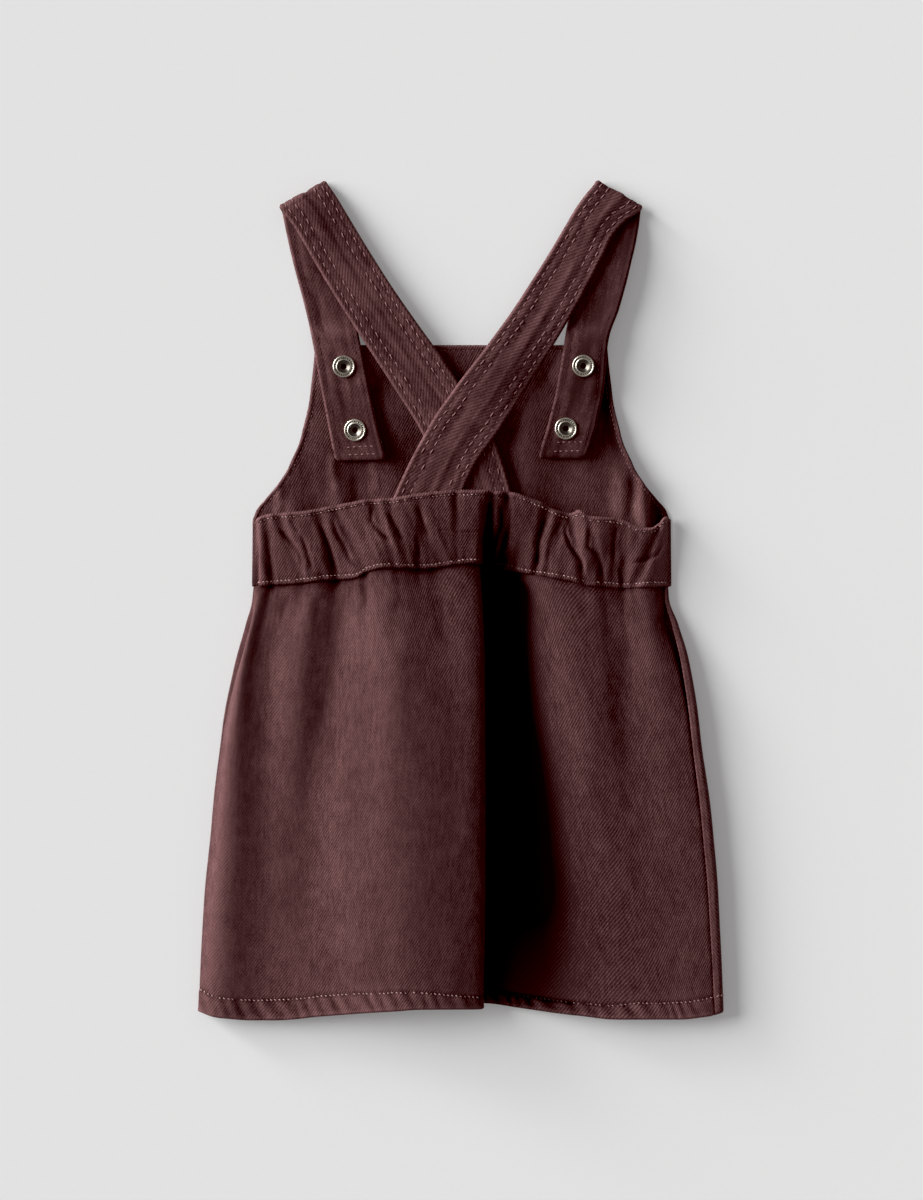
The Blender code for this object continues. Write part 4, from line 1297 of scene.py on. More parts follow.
# the painted shade leans with the gathers and grows towards the seam
tone = smooth(x + BAND_SHADE_LEAN * (down - 0.5), BAND_PAINTED_SHADE["x"], BAND_PAINTED_SHADE["recess"])
band_dye_and_shade = np.clip(band_dye_and_shade, -1, 1) + tone * (0.75 + 0.5 * down)
waistband, band_face, _ = make_cloth(
    "back_waistband_cloth", band_middle, BAND_CLOTH, band_twill, (x * GATHERED_IN, y), band_dye_and_shade,
    roll - groove + 0.25 * tight, upright=True)
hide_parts("back_waistband")
print("waistband:", len(waistband.data.polygons), "faces,", round(sheet_area(waistband), 4), "m2")

# %% [markdown]
# ## The back skirt
#
# The back skirt is one panel, gathered into the waistband. Its big folds are the sections above.
# Its grid has a row for each share of the way from the waist to the hem, closer at both ends,
# where the gathers and the hem need fine steps.

# %% The grid of the back skirt
SKIRT_SPACING = 2.0
WAIST_ROWS, LONG_ROWS, HEM_ROWS = 14, 84, 20
WAIST_SHARE, HEM_SHARE = 0.055, 0.925    # the closer rows end and start at these shares of the length
ROW_CROWDING = 1.15
FACET_EASE = 0.3


def skirt_grid(places):
    """Middle points of the back skirt at these places of its section."""
    waist_x = section_at(STATIONS[0], places)[:, 0]
    hem_x = section_at(STATIONS[-1], places)[:, 0]
    past_lip = ease((places - LIP) / (TURN - LIP))
    top_y = smooth(waist_x, BAND["x"], BAND["bottom_y"]) - SEAM_GAP / 2 - FACET_EASE
    hem_left = smooth(hem_x, HEM_LEFT["x"], HEM_LEFT["y"])
    hem_right = smooth(hem_x, HEM_RIGHT["x"], HEM_RIGHT["y"])
    hem_y = hem_left * (1 - past_lip) + hem_right * past_lip
    near_waist = np.linspace(0, WAIST_SHARE, WAIST_ROWS + 1) ** (1 / ROW_CROWDING)
    near_hem = np.linspace(HEM_SHARE, 1, HEM_ROWS + 1)
    long = np.linspace(near_waist[-1], near_hem[0], LONG_ROWS + 1)
    down = np.concatenate([near_waist, long[1:], near_hem[1:]])
    points = np.zeros((len(down), len(places), 3))
    for row, share in enumerate(down):
        y = top_y + (hem_y - top_y) * share
        section = bspline(skirt_controls(y + (STATIONS[0] - top_y) * (1 - share)), places)
        points[row] = np.stack([section[:, 0], y, section[:, 1]], axis=1)
    return points, top_y, hem_y


places = section_places(SKIRT_SPACING)
skirt_middle, top_y, hem_y = skirt_grid(places)
x, y = skirt_middle[:, :, 0], skirt_middle[:, :, 1]
below, above = top_y - y, y - hem_y
steps = np.linalg.norm(np.diff(skirt_middle[len(skirt_middle) // 2], axis=0), axis=1)
across = np.concatenate([[0], np.cumsum(steps)])
edges = ease((places - 2) / 2) * ease((places[-1] - places) / 2)
facing_up = 1 - ease((places - LIP + 2) / 2) * (1 - ease((places - RIGHT_RIDGE) / 2))
print("back skirt:", skirt_middle.shape[0], "rows of", skirt_middle.shape[1], "points")

# %% [markdown]
# ## The small folds of the back skirt
#
# The gathers of the waistband run out into the skirt and fade. Below them are long, shallow dents,
# a few soft creases, and the slanting puckers of the hem, which end at its stitch line. What
# lies under the lip of the great fold is left smooth, so that the layers stay apart.

# %% The small folds of the back skirt
GATHER_FADE = 26.0       # how far below the band the gathers run into the skirt
GATHER_SHARE = 0.8
SMALL_FADE = 11.0
PUCKER_PITCH = 9.5
PUCKER_SLANT = 0.55
HEM_INSET = table(
    "x      inset",
    (-170.0, 14.6),
    (-155.0, 12.7),
    (-91.0, 12.7),
    (-42.0, 11.6),
    (-21.0, 10.3),
    (14.0, 7.7),
    (87.0, 8.1),
    (115.0, 10.2),
    (150.0, 10.8),
    (170.0, 12.5),
)
SKIRT_CREASES = (
    # points from the waist down, depth, width, lift
    ([(-78, -2), (-82, -40), (-92, -90)], 0.9, 6.0, 0.0),
    ([(-40, 2), (-44, -14), (-44, -32)], 0.8, 4.0, 0.0),
    ([(-16, 4), (-13, -16), (-12, -34)], 0.9, 4.0, 0.0),
    ([(-118, -6), (-124, -40), (-128, -110)], 0.8, 7.0, 0.0),
    ([(60, 2), (64, -20), (70, -44)], 0.6, 4.0, 0.0),
    ([(108, -14), (103, -62), (108, -120)], 0.8, 6.0, 0.0),
    ([(-112, 4), (-116, -14)], 0.9, 2.6, 0.0),
    ([(-92, 4), (-95, -16)], 0.9, 2.6, 0.0),
    ([(-62, 12), (-60, -8)], 0.8, 2.4, 0.0),
    ([(78, 4), (80, -14)], 0.8, 2.4, 0.0),
    ([(94, 2), (95, -16)], 0.8, 2.4, 0.0),
    ([(116, 2), (119, -18)], 0.8, 2.6, 0.0),
)

ripple = -GATHER_SHARE * gather(skirt_middle[0, :, 0], 1.0) * np.exp(-below / GATHER_FADE)
small = 0.55 * unevenness(across + 0 * y, below * 0.16, 5.0, 31) * np.exp(-below / SMALL_FADE)
long_dents = 0.5 * unevenness(across + 0 * y, below * 0.32, 19.0, 32)
long_dents = long_dents + 0.25 * unevenness(across + 0 * y, below * 0.5, 9.0, 33)
creases = np.zeros(x.shape)
for line, depth, width, lift in SKIRT_CREASES:
    creases = creases + crease(x, y, line, depth, width, lift)
stitch_line = smooth(x, HEM_INSET["x"], HEM_INSET["inset"])
in_hem = ease((stitch_line + 1.5 - above) / 3)
slant = across + above * PUCKER_SLANT
hem_pucker = np.sin(slant * TWO_PI / PUCKER_PITCH + 3.4 * unevenness(across + 0 * y, 0 * y, 17.0, 34))
hem_pucker = np.sign(hem_pucker) * np.abs(hem_pucker) ** 1.4 + 0.6 * unevenness(slant, above * 0.3, 3.6, 35)
hem_pucker = 0.4 * hem_pucker * ease(above / 3 + 0.45) * in_hem
relief = (ripple + small + creases) * facing_up + long_dents * ease(above / 20) + hem_pucker
skirt_middle[:, :, 2] += relief * edges
lowest_relief, highest_relief = round(float(relief.min()), 1), round(float(relief.max()), 1)
print("relief of the skirt's cloth:", lowest_relief, "to", highest_relief, "mm")

# %% [markdown]
# ## The back skirt's dye and painted shade
#
# Dye stays deep along the hem's stitch line, and is rubbed off the very edge of the hem. The cloth
# right at the waist seam is darker. Painted shade darkens the troughs, the sunken sides of the
# hem's puckers, the cloth just below the waistband and the face of the great fold towards its lip,
# and the ridges are lighter. Little light comes into the valley beside the great fold. The lamps
# alone would leave it too bright, so a table says how dark its painted shade is at each height
# and where it ends. Below the waist, the shoulder of the great fold and the right side get
# painted shade as well.

# %% The back skirt's cloth
# Where the valley's painted shade ends: quite dark up to the first x, and gone at the second
SHADE = table(
    "y      dark_x light_x depth",
    (24.0, 20.0, 44.0, 2.2),
    (0.0, 39.0, 56.0, 2.2),
    (-26.0, 37.0, 63.0, 2.2),
    (-65.0, 38.0, 72.0, 2.2),
    (-104.0, 44.0, 80.0, 2.2),
    (-163.0, 49.0, 92.0, 2.2),
    (-221.0, 51.0, 104.0, 1.85),
    (-268.0, 46.0, 108.0, 1.4),
)
LIP_SHADE = 0.45
BAND_SHADE = 0.8

hem_dent = 0.4 * in_hem - 0.6 * bump(above - stitch_line, 1.1) + 0.25 * bump(above - 0.8, 1.0)
seam_tuck = -0.5 * bump(below - 1.0, 1.4)
# painted shade in the troughs, partly deeper dye, and lighter ridges, partly rubbed
skirt_dye_and_shade = recess_of(skirt_middle, 7, 3.2) * facing_up
skirt_dye_and_shade = skirt_dye_and_shade + 0.8 * bump(above - stitch_line + 0.3, 1.4) - 0.8 * bump(above - 0.6, 1.2)
dark_x, light_x = smooth(y, SHADE["y"], SHADE["dark_x"]), smooth(y, SHADE["y"], SHADE["light_x"])
shade = ease((places - LIP - 0.3) / 1.2) * ease((light_x - x) / (light_x - dark_x))
shade = shade * smooth(y, SHADE["y"], SHADE["depth"])
lip_shade_mask = ease((x + 40.0) / 50.0) * ease((LIP + 0.5 - places) / 0.5)
band_shade_mask = np.exp(-below / 12.0) * (1 - 0.6 * ease((x - 10.0) / 40.0))
# painted shade in the valley, on the great fold's face by its lip and below the waistband
skirt_dye_and_shade = np.clip(skirt_dye_and_shade, -1, 1) + LIP_SHADE * lip_shade_mask + BAND_SHADE * band_shade_mask + shade
# painted shade and light on the hem's puckers; darker right at the waist seam
skirt_dye_and_shade = skirt_dye_and_shade - 1.1 * hem_pucker + 0.6 * bump(below - 0.5, 2.0)
# painted shade below the waist, on the great fold's shoulder and on the right side
painted_shade_below_waist = 0.3 * bump(x + 66.0, 24.0) + 0.22 * ease((x - 70.0) / 24.0)
skirt_dye_and_shade = skirt_dye_and_shade + painted_shade_below_waist * ease((-20.0 - y) / 40.0) * ease((above - 14.0) / 8.0)
back_skirt, skirt_face, _ = make_cloth(
    "back_skirt_cloth", skirt_middle, CLOTH, twill, (across, -below),
    skirt_dye_and_shade, hem_dent + seam_tuck)
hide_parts("back_skirt")
print("back skirt:", len(back_skirt.data.polygons), "faces,", round(sheet_area(back_skirt), 4), "m2")

# %% [markdown]
# ## The front skirt
#
# The front of the skirt lies flat under the back and shows only at the right side seam, where it
# rolls up over the edge. It carries the same hem, so it is right from below too.

# %% The front skirt
FRONT_ROWS = 70
FRONT_PLACES = np.concatenate([np.linspace(0, 3, 60), np.linspace(3, 6, 40)[1:]])
FRONT_HEM_SHORT = 2.0
FRONT_HEM_BLEND = 60.0     # over this width, left of the middle, its hem goes from one line to the other
SIDE_ROLL_X = 150.0        # beyond this x its hem is the back's
SIDE_ROLL_WIDTH = 20.0
FLAT_RIGHT = 12.0          # it lies flat up to this far from its right edge
FLAT_BELOW = 2.0           # and folds lift it only where it is lower than this
FRONT_HEM_INSET = 11.0
MEASURED_ROW = 40          # its width is measured along this row


def front_skirt_grid(rows):
    """Middle points of the front skirt: flat on the table, rolled up to the seam on its right."""
    low = FRONT_CLOTH / 2
    points = []
    for down in np.concatenate([np.linspace(0, 0.93, rows), np.linspace(0.94, 1, 12)]):
        guess = np.array([WAIST_SEAM - SEAM_GAP + (STATIONS[-1] - WAIST_SEAM) * down])
        left, right, seam_x, seam_z = (smooth(guess, SIDES["y"], SIDES[name])[0]
                                       for name in ("left_x", "right_x", "seam_x", "seam_z"))
        controls = np.array([
            (left + 0.5, low),
            (left * 0.7 + right * 0.3, low),
            (left * 0.35 + right * 0.65, low),
            (right - FLAT_RIGHT, low),
            (right - low, low),
            (right - low, seam_z + 0.3),
            (seam_x + SEAM_GAP + FACET_EASE, seam_z),
        ])
        section = bspline(np.repeat(controls[:, None], len(FRONT_PLACES), axis=1), FRONT_PLACES)
        hem_left = smooth(section[:, 0], HEM_LEFT["x"], HEM_LEFT["y"])
        hem_right = smooth(section[:, 0], HEM_RIGHT["x"], HEM_RIGHT["y"])
        right_share = ease((section[:, 0] + FRONT_HEM_BLEND) / FRONT_HEM_BLEND)
        hem = hem_left * (1 - right_share) + hem_right * right_share
        hem += FRONT_HEM_SHORT * ease((SIDE_ROLL_X - section[:, 0]) / SIDE_ROLL_WIDTH)
        y = WAIST_SEAM - SEAM_GAP + (hem - WAIST_SEAM + SEAM_GAP) * down
        lift = front_rise(section[:, 0], y) * (section[:, 1] < FLAT_BELOW)
        points.append(np.stack([section[:, 0], y, section[:, 1] + lift], axis=1))
    return np.array(points)


front_middle = front_skirt_grid(FRONT_ROWS)
steps = np.linalg.norm(np.diff(front_middle[MEASURED_ROW], axis=0), axis=1)
across = np.concatenate([[0], np.cumsum(steps)])
above = front_middle[:, :, 1] - front_middle[-1, :, 1]
front_recess = 0.8 * bump(above - FRONT_HEM_INSET, 1.4) - 0.8 * bump(above - 0.6, 1.2)
front_skirt, _, front_under = make_cloth(
    "front_skirt_cloth", front_middle, FRONT_CLOTH, twill, (across, front_middle[:, :, 1]), front_recess)
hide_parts("front_skirt")
print("front skirt:", len(front_skirt.data.polygons), "faces,", round(sheet_area(front_skirt), 4), "m2")

# %% [markdown]
# ## The straps
#
# A strap is a tube of twill, turned and pressed flat, with two rows of stitching along each
# edge. It starts inside the bib, turns over at the shoulder, and runs across the back to the
# waistband. Each is one grid between two rails, so the stitch rows keep their
# distance from the edges all the way.

# %% Sizes of the straps
STRAP_CLOTH = 2.4

# The front part of a strap lies inside the bib, and its back part runs to the waistband
STRAP_LEFT_FRONT = (
    # left_x, left_y, right_x, right_y, left_lift, right_lift
    (-81.3, 90.6, -49.6, 91.3, 0.2, 5.5),
    (-87.0, 120.9, -57.3, 122.3, 0.0, 4.5),
    (-92.6, 150.6, -63.0, 150.6, 0.0, 2.0),
    (-95.7, 167.5, -66.5, 167.5, 0.0, 0.4),
    (-101.7, 194.2, -71.6, 194.2, 0.0, 0.0),
    (-108.1, 218.2, -77.5, 221.0, 0.0, 0.0),
)
STRAP_LEFT_FOLD = ((-117.8, 256.2), (-89.0, 272.2))
STRAP_LEFT_BACK = (
    # left_x, left_y, right_x, right_y, left_z, right_z
    (-109.5, 244.9, -82.1, 261.8, 8.6, 5.4),
    (-87.0, 206.9, -59.3, 224.0, 8.5, 6.8),
    (-60.2, 164.6, -31.3, 181.8, 8.2, 8.6),
    (-41.9, 136.4, -11.8, 154.5, 8.6, 8.6),
    (-23.5, 106.1, 7.0, 125.3, 8.6, 8.6),
    (-13.0, 84.0, 20.0, 104.0, 8.6, 9.2),
    (-6.0, 62.0, 34.0, 62.0, 9.2, 10.8),
)
STRAP_RIGHT_FRONT = (
    # the same columns as on the left
    (50.5, 92.4, 80.5, 92.4, 1.0, 3.4),
    (58.6, 119.4, 88.4, 119.4, 0.8, 3.6),
    (64.2, 144.9, 92.5, 144.9, 0.2, 3.2),
    (67.5, 165.3, 94.3, 165.3, 0.0, 4.2),
    (71.4, 188.3, 101.6, 188.3, 0.0, 7.5),
    (76.0, 213.0, 108.2, 213.0, 0.0, 7.5),
    (77.2, 219.5, 109.7, 219.5, 0.0, 7.0),
    (81.3, 240.0, 113.7, 238.0, 0.0, 4.5),
)
STRAP_RIGHT_FOLD = ((88.9, 272.4), (117.5, 255.9))
STRAP_RIGHT_BACK = (
    (77.2, 256.6, 100.0, 239.7, 8.0, 7.8),
    (66.9, 239.7, 90.3, 221.7, 8.0, 8.8),
    (45.9, 205.5, 70.7, 185.1, 7.6, 7.0),
    (17.7, 164.6, 45.3, 144.1, 10.4, 7.0),
    (-6.2, 132.9, 23.9, 110.3, 12.2, 12.0),
    (-24.6, 104.0, 5.9, 83.0, 12.4, 12.4),
    (-45.6, 60.9, -2.7, 60.9, 12.2, 12.8),
)
print("strap width:", round(math.dist(*STRAP_LEFT_FOLD), 1), "mm")

# %% [markdown]
# ## The grid of a strap
#
# The rows of a strap run along its route and the columns from rail to rail. The front part lies on
# whatever is below it, the bib or the table, and is lifted from there. At the shoulder the strap
# turns over on a half circle between its two heights, and then the back part takes its own.

# %% The grid of a strap
SHOULDER_LOW = STRAP_CLOTH / 2
STRAP_LEFT_SHOULDER = (8.0, 4.2)      # height of the back part at the fold, at its left and right edge
STRAP_RIGHT_SHOULDER = (7.4, 5.4)
EDGE_DROOP = 3.0                      # how late across its width a strap bends down to its right edge
FRONT_LIFT = 2.0                      # the same where its front part lifts
BIB_STEP_START, BIB_STEP = 4.0, 14.0  # from where above the bib it steps down, and over how far
STRAP_FRONT_ROWS = 110
STRAP_BACK_ROWS = 150
FOLD_ROWS = 14
STRAP_SHARES = np.concatenate([[0, 0.012, 0.035], np.linspace(0.065, 0.935, 25), [0.965, 0.988, 1]])


def laid_on_front(x, y):
    """Middle height of a strap that lies on the front panel, or on the table above its top edge."""
    on_bib = front_rise(x, np.minimum(y, BIB_TOP)) + FRONT_CLOTH + SEAM_GAP + FACET_EASE
    return STRAP_CLOTH / 2 + on_bib * (1 - ease((y - BIB_TOP - BIB_STEP_START) / BIB_STEP))


def along_rails(rows, count):
    """The columns of a table read smoothly at count + 1 even places."""
    rows = np.asarray(rows, float)
    keys = np.arange(len(rows))
    at = np.linspace(0, len(rows) - 1, count + 1)
    return np.stack([smooth(at, keys, rows[:, column]) for column in range(rows.shape[1])], axis=1)


def between(rails, droop=1.0):
    """A grid of (x, y, height) between the two rails of each row."""
    left, right = rails[:, None, [0, 1, 4]], rails[:, None, [2, 3, 5]]
    share = np.stack([STRAP_SHARES, STRAP_SHARES, STRAP_SHARES ** droop], axis=1)
    return left + (right - left) * share[None]


def strap_grid(front, fold, back, shoulder):
    """Middle points of a strap from its free front end, over the shoulder fold, to the waistband."""
    corners = np.array(fold)
    direction = (corners[1] - corners[0]) / np.linalg.norm(corners[1] - corners[0])
    outward = np.array([-direction[1], direction[0]])
    radius = (np.array(shoulder) - SHOULDER_LOW) / 2
    hinge = corners - outward * (radius + STRAP_CLOTH / 2)[:, None]
    front_rows = along_rails([*front, (*hinge[0], *hinge[1], 0.0, 0.0)], STRAP_FRONT_ROWS)
    lying = between(front_rows, FRONT_LIFT)
    lying[:, :, 2] += laid_on_front(lying[:, :, 0], lying[:, :, 1])
    turns = []
    for step in range(1, FOLD_ROWS):
        angle = math.pi * (step / FOLD_ROWS - 0.5)
        rail = hinge + outward * radius[:, None] * math.cos(angle)
        height = SHOULDER_LOW + radius + radius * math.sin(angle)
        turns.append((*rail[0], *rail[1], *height))
    back_rows = along_rails([(*hinge[0], *hinge[1], *shoulder), *back], STRAP_BACK_ROWS)
    return np.concatenate([lying, between(np.array(turns), EDGE_DROOP), between(back_rows, EDGE_DROOP)])


print("a strap is", len(STRAP_SHARES), "points wide")

# %% [markdown]
# ## The straps' cloth
#
# Two stitch rows along each edge press grooves into the strap, and the cloth between them stands
# up in small puckers. The free end has rounded corners. The grooves are darker, partly dye and
# partly painted shade, and the rubbed edges lighter. The inner face shows on the front part, where
# painted shade darkens it towards its right edge, most of all on the right strap, which lies in
# the shade of its own loop. The end of the left strap gets a painted shadow.

# %% The straps' cloth
ROW_NEAR_EDGE, ROW_FROM_EDGE = 3.4, 8.6
BETWEEN_ROWS = 6.0
STRAP_CORNER = 2.6
CORNER_FADE = 9.0
GROOVE_SHARE = 0.57           # a soft groove runs down the strap at this share of its width
END_SHADE_LENGTH = 42.0
END_SHADE_FADE = 12.0


def make_strap(side, rails, groove_depth, inner_painted_shade, end_painted_shadow, seed):
    """One strap with its grooves and puckers, its outer face, its inner face and its widths."""
    middle = strap_grid(*rails)
    width = np.linalg.norm(middle[:, -1] - middle[:, 0], axis=1)[:, None]
    steps = np.linalg.norm(np.diff(middle[:, len(STRAP_SHARES) // 2], axis=0), axis=1)
    along = np.concatenate([[0], np.cumsum(steps)])[:, None]
    u = STRAP_SHARES[None] * width
    inset = np.minimum(u, width - u)
    rows = bump(inset - ROW_NEAR_EDGE, 0.9) + bump(inset - ROW_FROM_EDGE, 0.9)
    between_rows = bump(inset - BETWEEN_ROWS, 2.2)
    run = middle[5, 0] - middle[0, 0]
    end_way = (run / np.linalg.norm(run))[:2]
    short_of = np.clip(STRAP_CORNER - inset, 0, STRAP_CORNER)
    corner = STRAP_CORNER - np.sqrt(STRAP_CORNER**2 - short_of**2)
    middle[:, :, :2] += (corner * ease(1 - along / CORNER_FADE))[:, :, None] * end_way
    tight = unevenness(along * 0.9 + u * 0.6, u, 4.3, seed)
    wrinkle = unevenness(u, along * 0.12, 4.6, seed + 1) * ease(inset / 5)
    edge = bump(inset - 0.3, 0.7) * (0.7 + 0.5 * unevenness(along, u, 5.0, seed + 2))
    groove = groove_depth * bump(u - GROOVE_SHARE * width, 1.9)
    groove = groove * (0.7 + 0.5 * unevenness(along, 0 * u, 18.0, seed + 3))
    dent = 0.2 * edge - 0.35 * rows + 0.4 * between_rows * (0.3 + 0.7 * tight) + 0.35 * wrinkle - groove
    # darker in the stitch grooves and the soft groove, partly dye and partly painted shade; lighter on the
    # rubbed edges and, as painted light, on the wrinkles
    recess = 0.5 * rows - 0.7 * edge - 0.5 * between_rows * tight - 0.6 * wrinkle + 0.5 * groove
    dye_and_shade_under = 0.25 * bump(inset - ROW_NEAR_EDGE, 0.9) - 0.45 * edge - 0.7 * wrinkle
    # painted shade on the inner face, growing towards its right edge
    dye_and_shade_under = dye_and_shade_under + inner_painted_shade * (0.6 + 0.8 * u / width)
    # painted shadow on the free end of the left strap
    end_shadow_mask = ease((u / width - 0.3) / 0.25) * ease((END_SHADE_LENGTH - along) / END_SHADE_FADE)
    dye_and_shade_under = dye_and_shade_under + end_painted_shadow * end_shadow_mask
    thing, face, under = make_cloth(
        "strap_%s_cloth" % side, middle, STRAP_CLOTH, strap_twill, (u, along), np.clip(recess, -1, 1), dent,
        dye_and_shade_under=dye_and_shade_under, dent_under=0.15 * edge + 0.3 * wrinkle, inside=strap_inside)
    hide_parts("strap_" + side)
    print("strap", side, "is", round(float(along[-1, 0]), 1), "mm long,", round(sheet_area(thing), 4), "m2")
    return thing, face, under, width[:, 0]


strap_left, left_face, left_under, left_width = make_strap(
    "left", (STRAP_LEFT_FRONT, STRAP_LEFT_FOLD, STRAP_LEFT_BACK, STRAP_LEFT_SHOULDER),
    groove_depth=0.9, inner_painted_shade=0.2, end_painted_shadow=0.75, seed=41)
strap_right, right_face, right_under, right_width = make_strap(
    "right", (STRAP_RIGHT_FRONT, STRAP_RIGHT_FOLD, STRAP_RIGHT_BACK, STRAP_RIGHT_SHOULDER),
    groove_depth=-0.6, inner_painted_shade=0.9, end_painted_shadow=0.0, seed=51)

# %% [markdown]
# ## The seams of the bib, waist and hem
#
# The waist and the hem are sewn with a pale thread and short stitches, the bib's turned edge
# with a darker one. The hem's stitch line wanders a little, because the hem is turned by hand.

# %% The seams of the bib, waist and hem
WAIST_STITCH = dict(pitch=2.6, length=1.7, radius=0.3, slant=0.6)
WAIST_LOW_STITCH = dict(pitch=2.6, length=1.7, radius=0.33, slant=0.6)
HEM_STITCH = dict(pitch=2.8, length=1.6, radius=0.37, slant=0.7)
FRONT_HEM_STITCH = dict(pitch=2.8, length=1.6, radius=0.24, slant=0.5)
BIB_STITCH = dict(pitch=3.0, length=1.9, radius=0.2, slant=0.1)
BIB_SIDE_END = 0.72    # the rows beside the armholes end at this share of the way down

# Painted shade on the thread: how far it lies out of the light
WAIST_THREAD_SHADE = table(
    "x      share",
    (-130.0, 0.25),
    (-60.0, 0.3),
    (-14.0, 0.5),
    (2.0, 0.1),
    (9.0, 0.3),
    (14.0, 0.9),
    (34.0, 0.85),
    (42.0, 0.3),
    (60.0, 0.1),
    (130.0, 0.2),
)
HEM_THREAD_SHADE = table(
    "x      share",
    (-170.0, 0.15),
    (-20.0, 0.3),
    (11.0, 0.45),
    (14.0, 0.94),
    (62.0, 0.9),
    (82.0, 0.55),
    (170.0, 0.4),
)
waist_seams = sew("waistband_stitches", [
    (inset_path(band_face, "top", BAND_STITCH, 0.005, 0.995), WAIST_STITCH),
    (inset_path(band_face, "bottom", BAND_STITCH, 0.005, 0.995), WAIST_LOW_STITCH),
], pale_thread, WAIST_THREAD_SHADE)

hem_seams = sew("back_hem_stitches", [
    (inset_path(skirt_face, "bottom", stitch_line[-1], 0.0, 1.0), HEM_STITCH),
], pale_thread, HEM_THREAD_SHADE)

front_hem_seams = sew("front_hem_stitches", [
    (inset_path(front_under, "bottom", FRONT_HEM_INSET, 0.02, 0.98), FRONT_HEM_STITCH),
], pale_thread)

bib_seams = sew("bib_stitches", [
    (inset_path(bib_face, "top", BIB_EDGE_STITCH, 0.03, 0.97), BIB_STITCH),
    (inset_path(bib_face, "left", BIB_EDGE_STITCH, 0.03, BIB_SIDE_END), BIB_STITCH),
    (inset_path(bib_face, "right", BIB_EDGE_STITCH, 0.03, BIB_SIDE_END), BIB_STITCH),
], strap_thread)

# %% [markdown]
# ## The seams of the straps
#
# Each strap has four rows on its outer face, in longer stitches. On the inner face, which shows
# on the front part, the bobbin thread is nearly the colour of the cloth. Two short rows close
# the free end.

# %% The seams of the straps
STRAP_PITCH = 5.7
STRAP_STITCH = dict(pitch=STRAP_PITCH, length=3.9, radius=0.34, slant=0.4)
BOBBIN_STITCH = dict(pitch=STRAP_PITCH * 0.6, length=2.4, radius=0.15, slant=0.0)
END_STITCH = dict(pitch=3.4, length=2.2, radius=0.3, slant=0.3)
END_ROWS = (2.0, 4.9)    # rows of the grid that the stitches across the free end follow


def strap_row(face, width, inset, first, last):
    """Path and normals of one stitch row; a negative inset counts from the right edge."""
    rows_at = np.arange(first, last, dtype=float)
    at_row = width[first:last]
    share = inset / at_row if inset > 0 else 1 + inset / at_row
    columns_at = np.array([np.interp(value, STRAP_SHARES, np.arange(len(STRAP_SHARES))) for value in share])
    return along_grid(face, rows_at, columns_at)


def end_row(under, row_at):
    """Path and normals across a strap's free end."""
    columns_at = np.linspace(5, len(STRAP_SHARES) - 6, 40)
    return along_grid(under, np.full(len(columns_at), row_at), columns_at)


def sew_strap(side, face, under, width):
    """All the stitches of one strap."""
    seams = []
    for inset in (ROW_NEAR_EDGE, ROW_FROM_EDGE, -ROW_FROM_EDGE, -ROW_NEAR_EDGE):
        path = strap_row(face, width, inset, STRAP_FRONT_ROWS + 2, len(face) - 1)
        seams.append((path, STRAP_STITCH))
    for row_at in END_ROWS:
        path, normals = end_row(under, row_at)
        seams.append(((path, -normals), END_STITCH))
    outer = sew("strap_%s_stitches" % side, seams, strap_thread)
    seams = []
    for inset in (ROW_NEAR_EDGE, -ROW_NEAR_EDGE):
        path, normals = strap_row(under, width, inset, 2, STRAP_FRONT_ROWS - 2)
        seams.append(((path, -normals), BOBBIN_STITCH))
    inner = sew("strap_%s_bobbin_stitches" % side, seams, bobbin_thread)
    return outer, inner


left_stitches = sew_strap("left", left_face, left_under, left_width)
right_stitches = sew_strap("right", right_face, right_under, right_width)

# %% [markdown]
# ## Where the snaps sit
#
# Each strap carries two snaps on its free end, one above the other. A snap is stiff and the
# cloth is soft, so it faces the way that the cloth under it faces on the whole, and it stands
# on the cloth's highest point there.

# %% Where the snaps sit
SNAPS = {
    "snap_left_upper": (-76.1, 151.2),
    "snap_left_lower": (-68.8, 110.0),
    "snap_right_upper": (79.3, 151.6),
    "snap_right_lower": (68.0, 111.0),
}
SNAP_RADIUS = 7.3
SNAP_EASE = 0.05    # how far a snap stands off the highest cloth under it


def snap_seat(under, x, y):
    """Where a snap sits on a strap's inner face, and the direction that it faces."""
    points = under[:STRAP_FRONT_ROWS].reshape(-1, 3)
    normals = -normals_of(under[:STRAP_FRONT_ROWS]).reshape(-1, 3)
    away = np.hypot(points[:, 0] - x, points[:, 1] - y)
    normal = normals[away < 2 * SNAP_RADIUS].mean(axis=0)
    normal /= np.linalg.norm(normal)
    highest = (points[away < SNAP_RADIUS] @ normal).max()
    return np.array([x, y, (highest - normal[0] * x - normal[1] * y) / normal[2]]), normal


snap_seats = {}
for name, (x, y) in SNAPS.items():
    snap_seats[name] = snap_seat(left_under if x < 0 else right_under, x, y)
    print(name, "sits at", [round(float(value), 1) for value in snap_seats[name][0]])

# %% [markdown]
# ## The snap rings
#
# Each snap shows its post side: a pressed ring with a rolled outer edge, a track of small notches
# where the prongs grip, and a rolled eyelet round the hole. It is round, so one profile is swung
# round its axis, and the notches are pressed into the track by lowering it at even angles. The
# eyelet and the notches get painted shade, and a near-black disc in the hole is painted shade too.

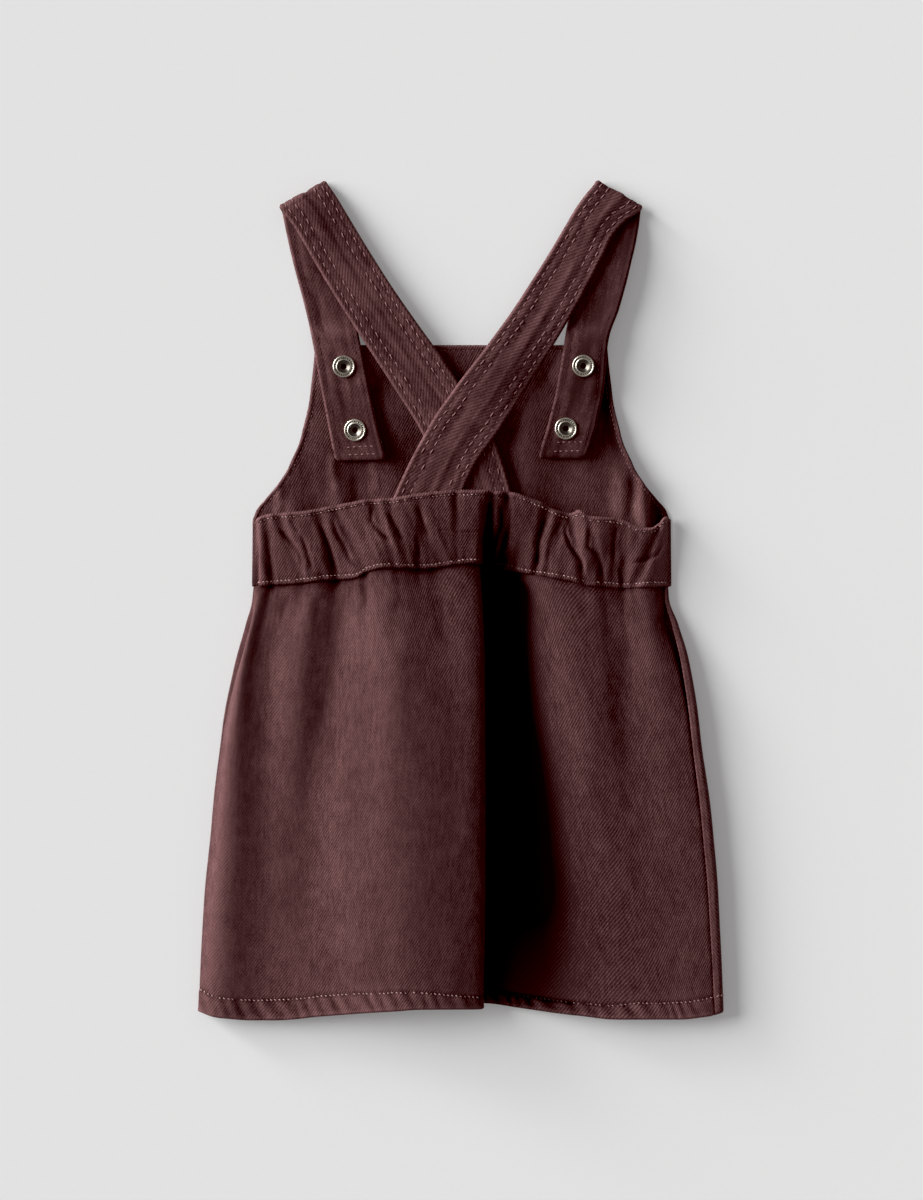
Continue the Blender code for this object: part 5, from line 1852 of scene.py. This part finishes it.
# %% The snap rings
SNAP_SIDES = 144
SNAP_NOTCHES = 24
SHARP_ANGLE = 60
SNAP_PROFILE = table(
    "radius height notch",
    (1.9, 0.15, 0.0),
    (2.1, 0.25, 0.0),
    (2.5, 0.45, 0.0),
    (3.1, 0.75, 0.0),
    (3.8, 1.15, 0.0),
    (4.3, 1.45, 0.0),
    (4.8, 1.4, 0.0),
    (5.15, 1.1, 0.0),
    (5.35, 0.75, 0.1),
    (5.6, 0.7, 0.2),
    (5.85, 0.85, 0.1),
    (6.1, 1.4, 0.0),
    (6.5, 1.65, 0.0),
    (6.9, 1.5, 0.0),
    (7.2, 1.1, 0.0),
    (7.3, 0.6, 0.0),
    (7.2, -0.6, 0.0),
)
# painted shade: these steps get the darker steel all round, the track steps in the notches only
EYELET = range(5)        # steps of the profile with a darker film, all round
TRACK = range(7, 11)     # and in the notches alone


def make_snap(name, seat, normal):
    """One snap ring, its eyelet and notches in painted shade, and a near-black disc of painted shade in its
    hole.
    """
    aside = np.cross(normal, (0.0, 1.0, 0.0))
    aside /= np.linalg.norm(aside)
    ahead = np.cross(normal, aside)
    angles = TWO_PI * np.arange(SNAP_SIDES) / SNAP_SIDES
    notch = ease(2.2 * np.cos(angles * SNAP_NOTCHES) - 0.6)
    height = SNAP_PROFILE["height"][None] - SNAP_PROFILE["notch"][None] * notch[:, None]
    spoke = aside[None] * np.cos(angles)[:, None] + ahead[None] * np.sin(angles)[:, None]
    points = seat + spoke[:, None] * SNAP_PROFILE["radius"][None, :, None] + normal * height[:, :, None]
    count = points.shape[1]
    faces = []
    for side in range(SNAP_SIDES):
        here, there = side * count, (side + 1) % SNAP_SIDES * count
        faces.extend((here + k, there + k, there + k + 1, here + k + 1) for k in range(count - 1))
    hollow = [side * count for side in range(SNAP_SIDES)]
    floor_of_ring = [side * count + count - 1 for side in reversed(range(SNAP_SIDES))]
    thing = mesh_object(name + "_ring", points.reshape(-1, 3), [*faces, hollow, floor_of_ring], steel)
    thing.data.materials.append(painted_shade_steel)
    thing.data.materials.append(hole_painted_shade)
    thing.data.polygons[len(faces)].material_index = 2
    for face in range(len(faces)):
        side, step = divmod(face, count - 1)
        # painted shade on the eyelet and in the notches of the track
        in_painted_shade = step in EYELET or (step in TRACK and notch[side] > 0.5)
        thing.data.polygons[face].material_index = 1 if in_painted_shade else 0
    thing.data.set_sharp_from_angle(angle=math.radians(SHARP_ANGLE))
    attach(thing, "root")
    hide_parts(name)
    return thing


snaps = [make_snap(name, seat + normal * SNAP_EASE, normal) for name, (seat, normal) in snap_seats.items()]
print("a snap ring has", len(snaps[0].data.polygons), "faces")

# %% [markdown]
# ## The front buttons
#
# The two snap caps on the outer face of the bib lie under the dress, on the table. Their solids
# already have the right round shape, so they stay and only get the steel finish.

# %% The front buttons
for name in BUTTONS:
    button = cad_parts[name]
    button.data.materials.clear()
    button.data.materials.append(steel)
    print(name, "keeps its solid")
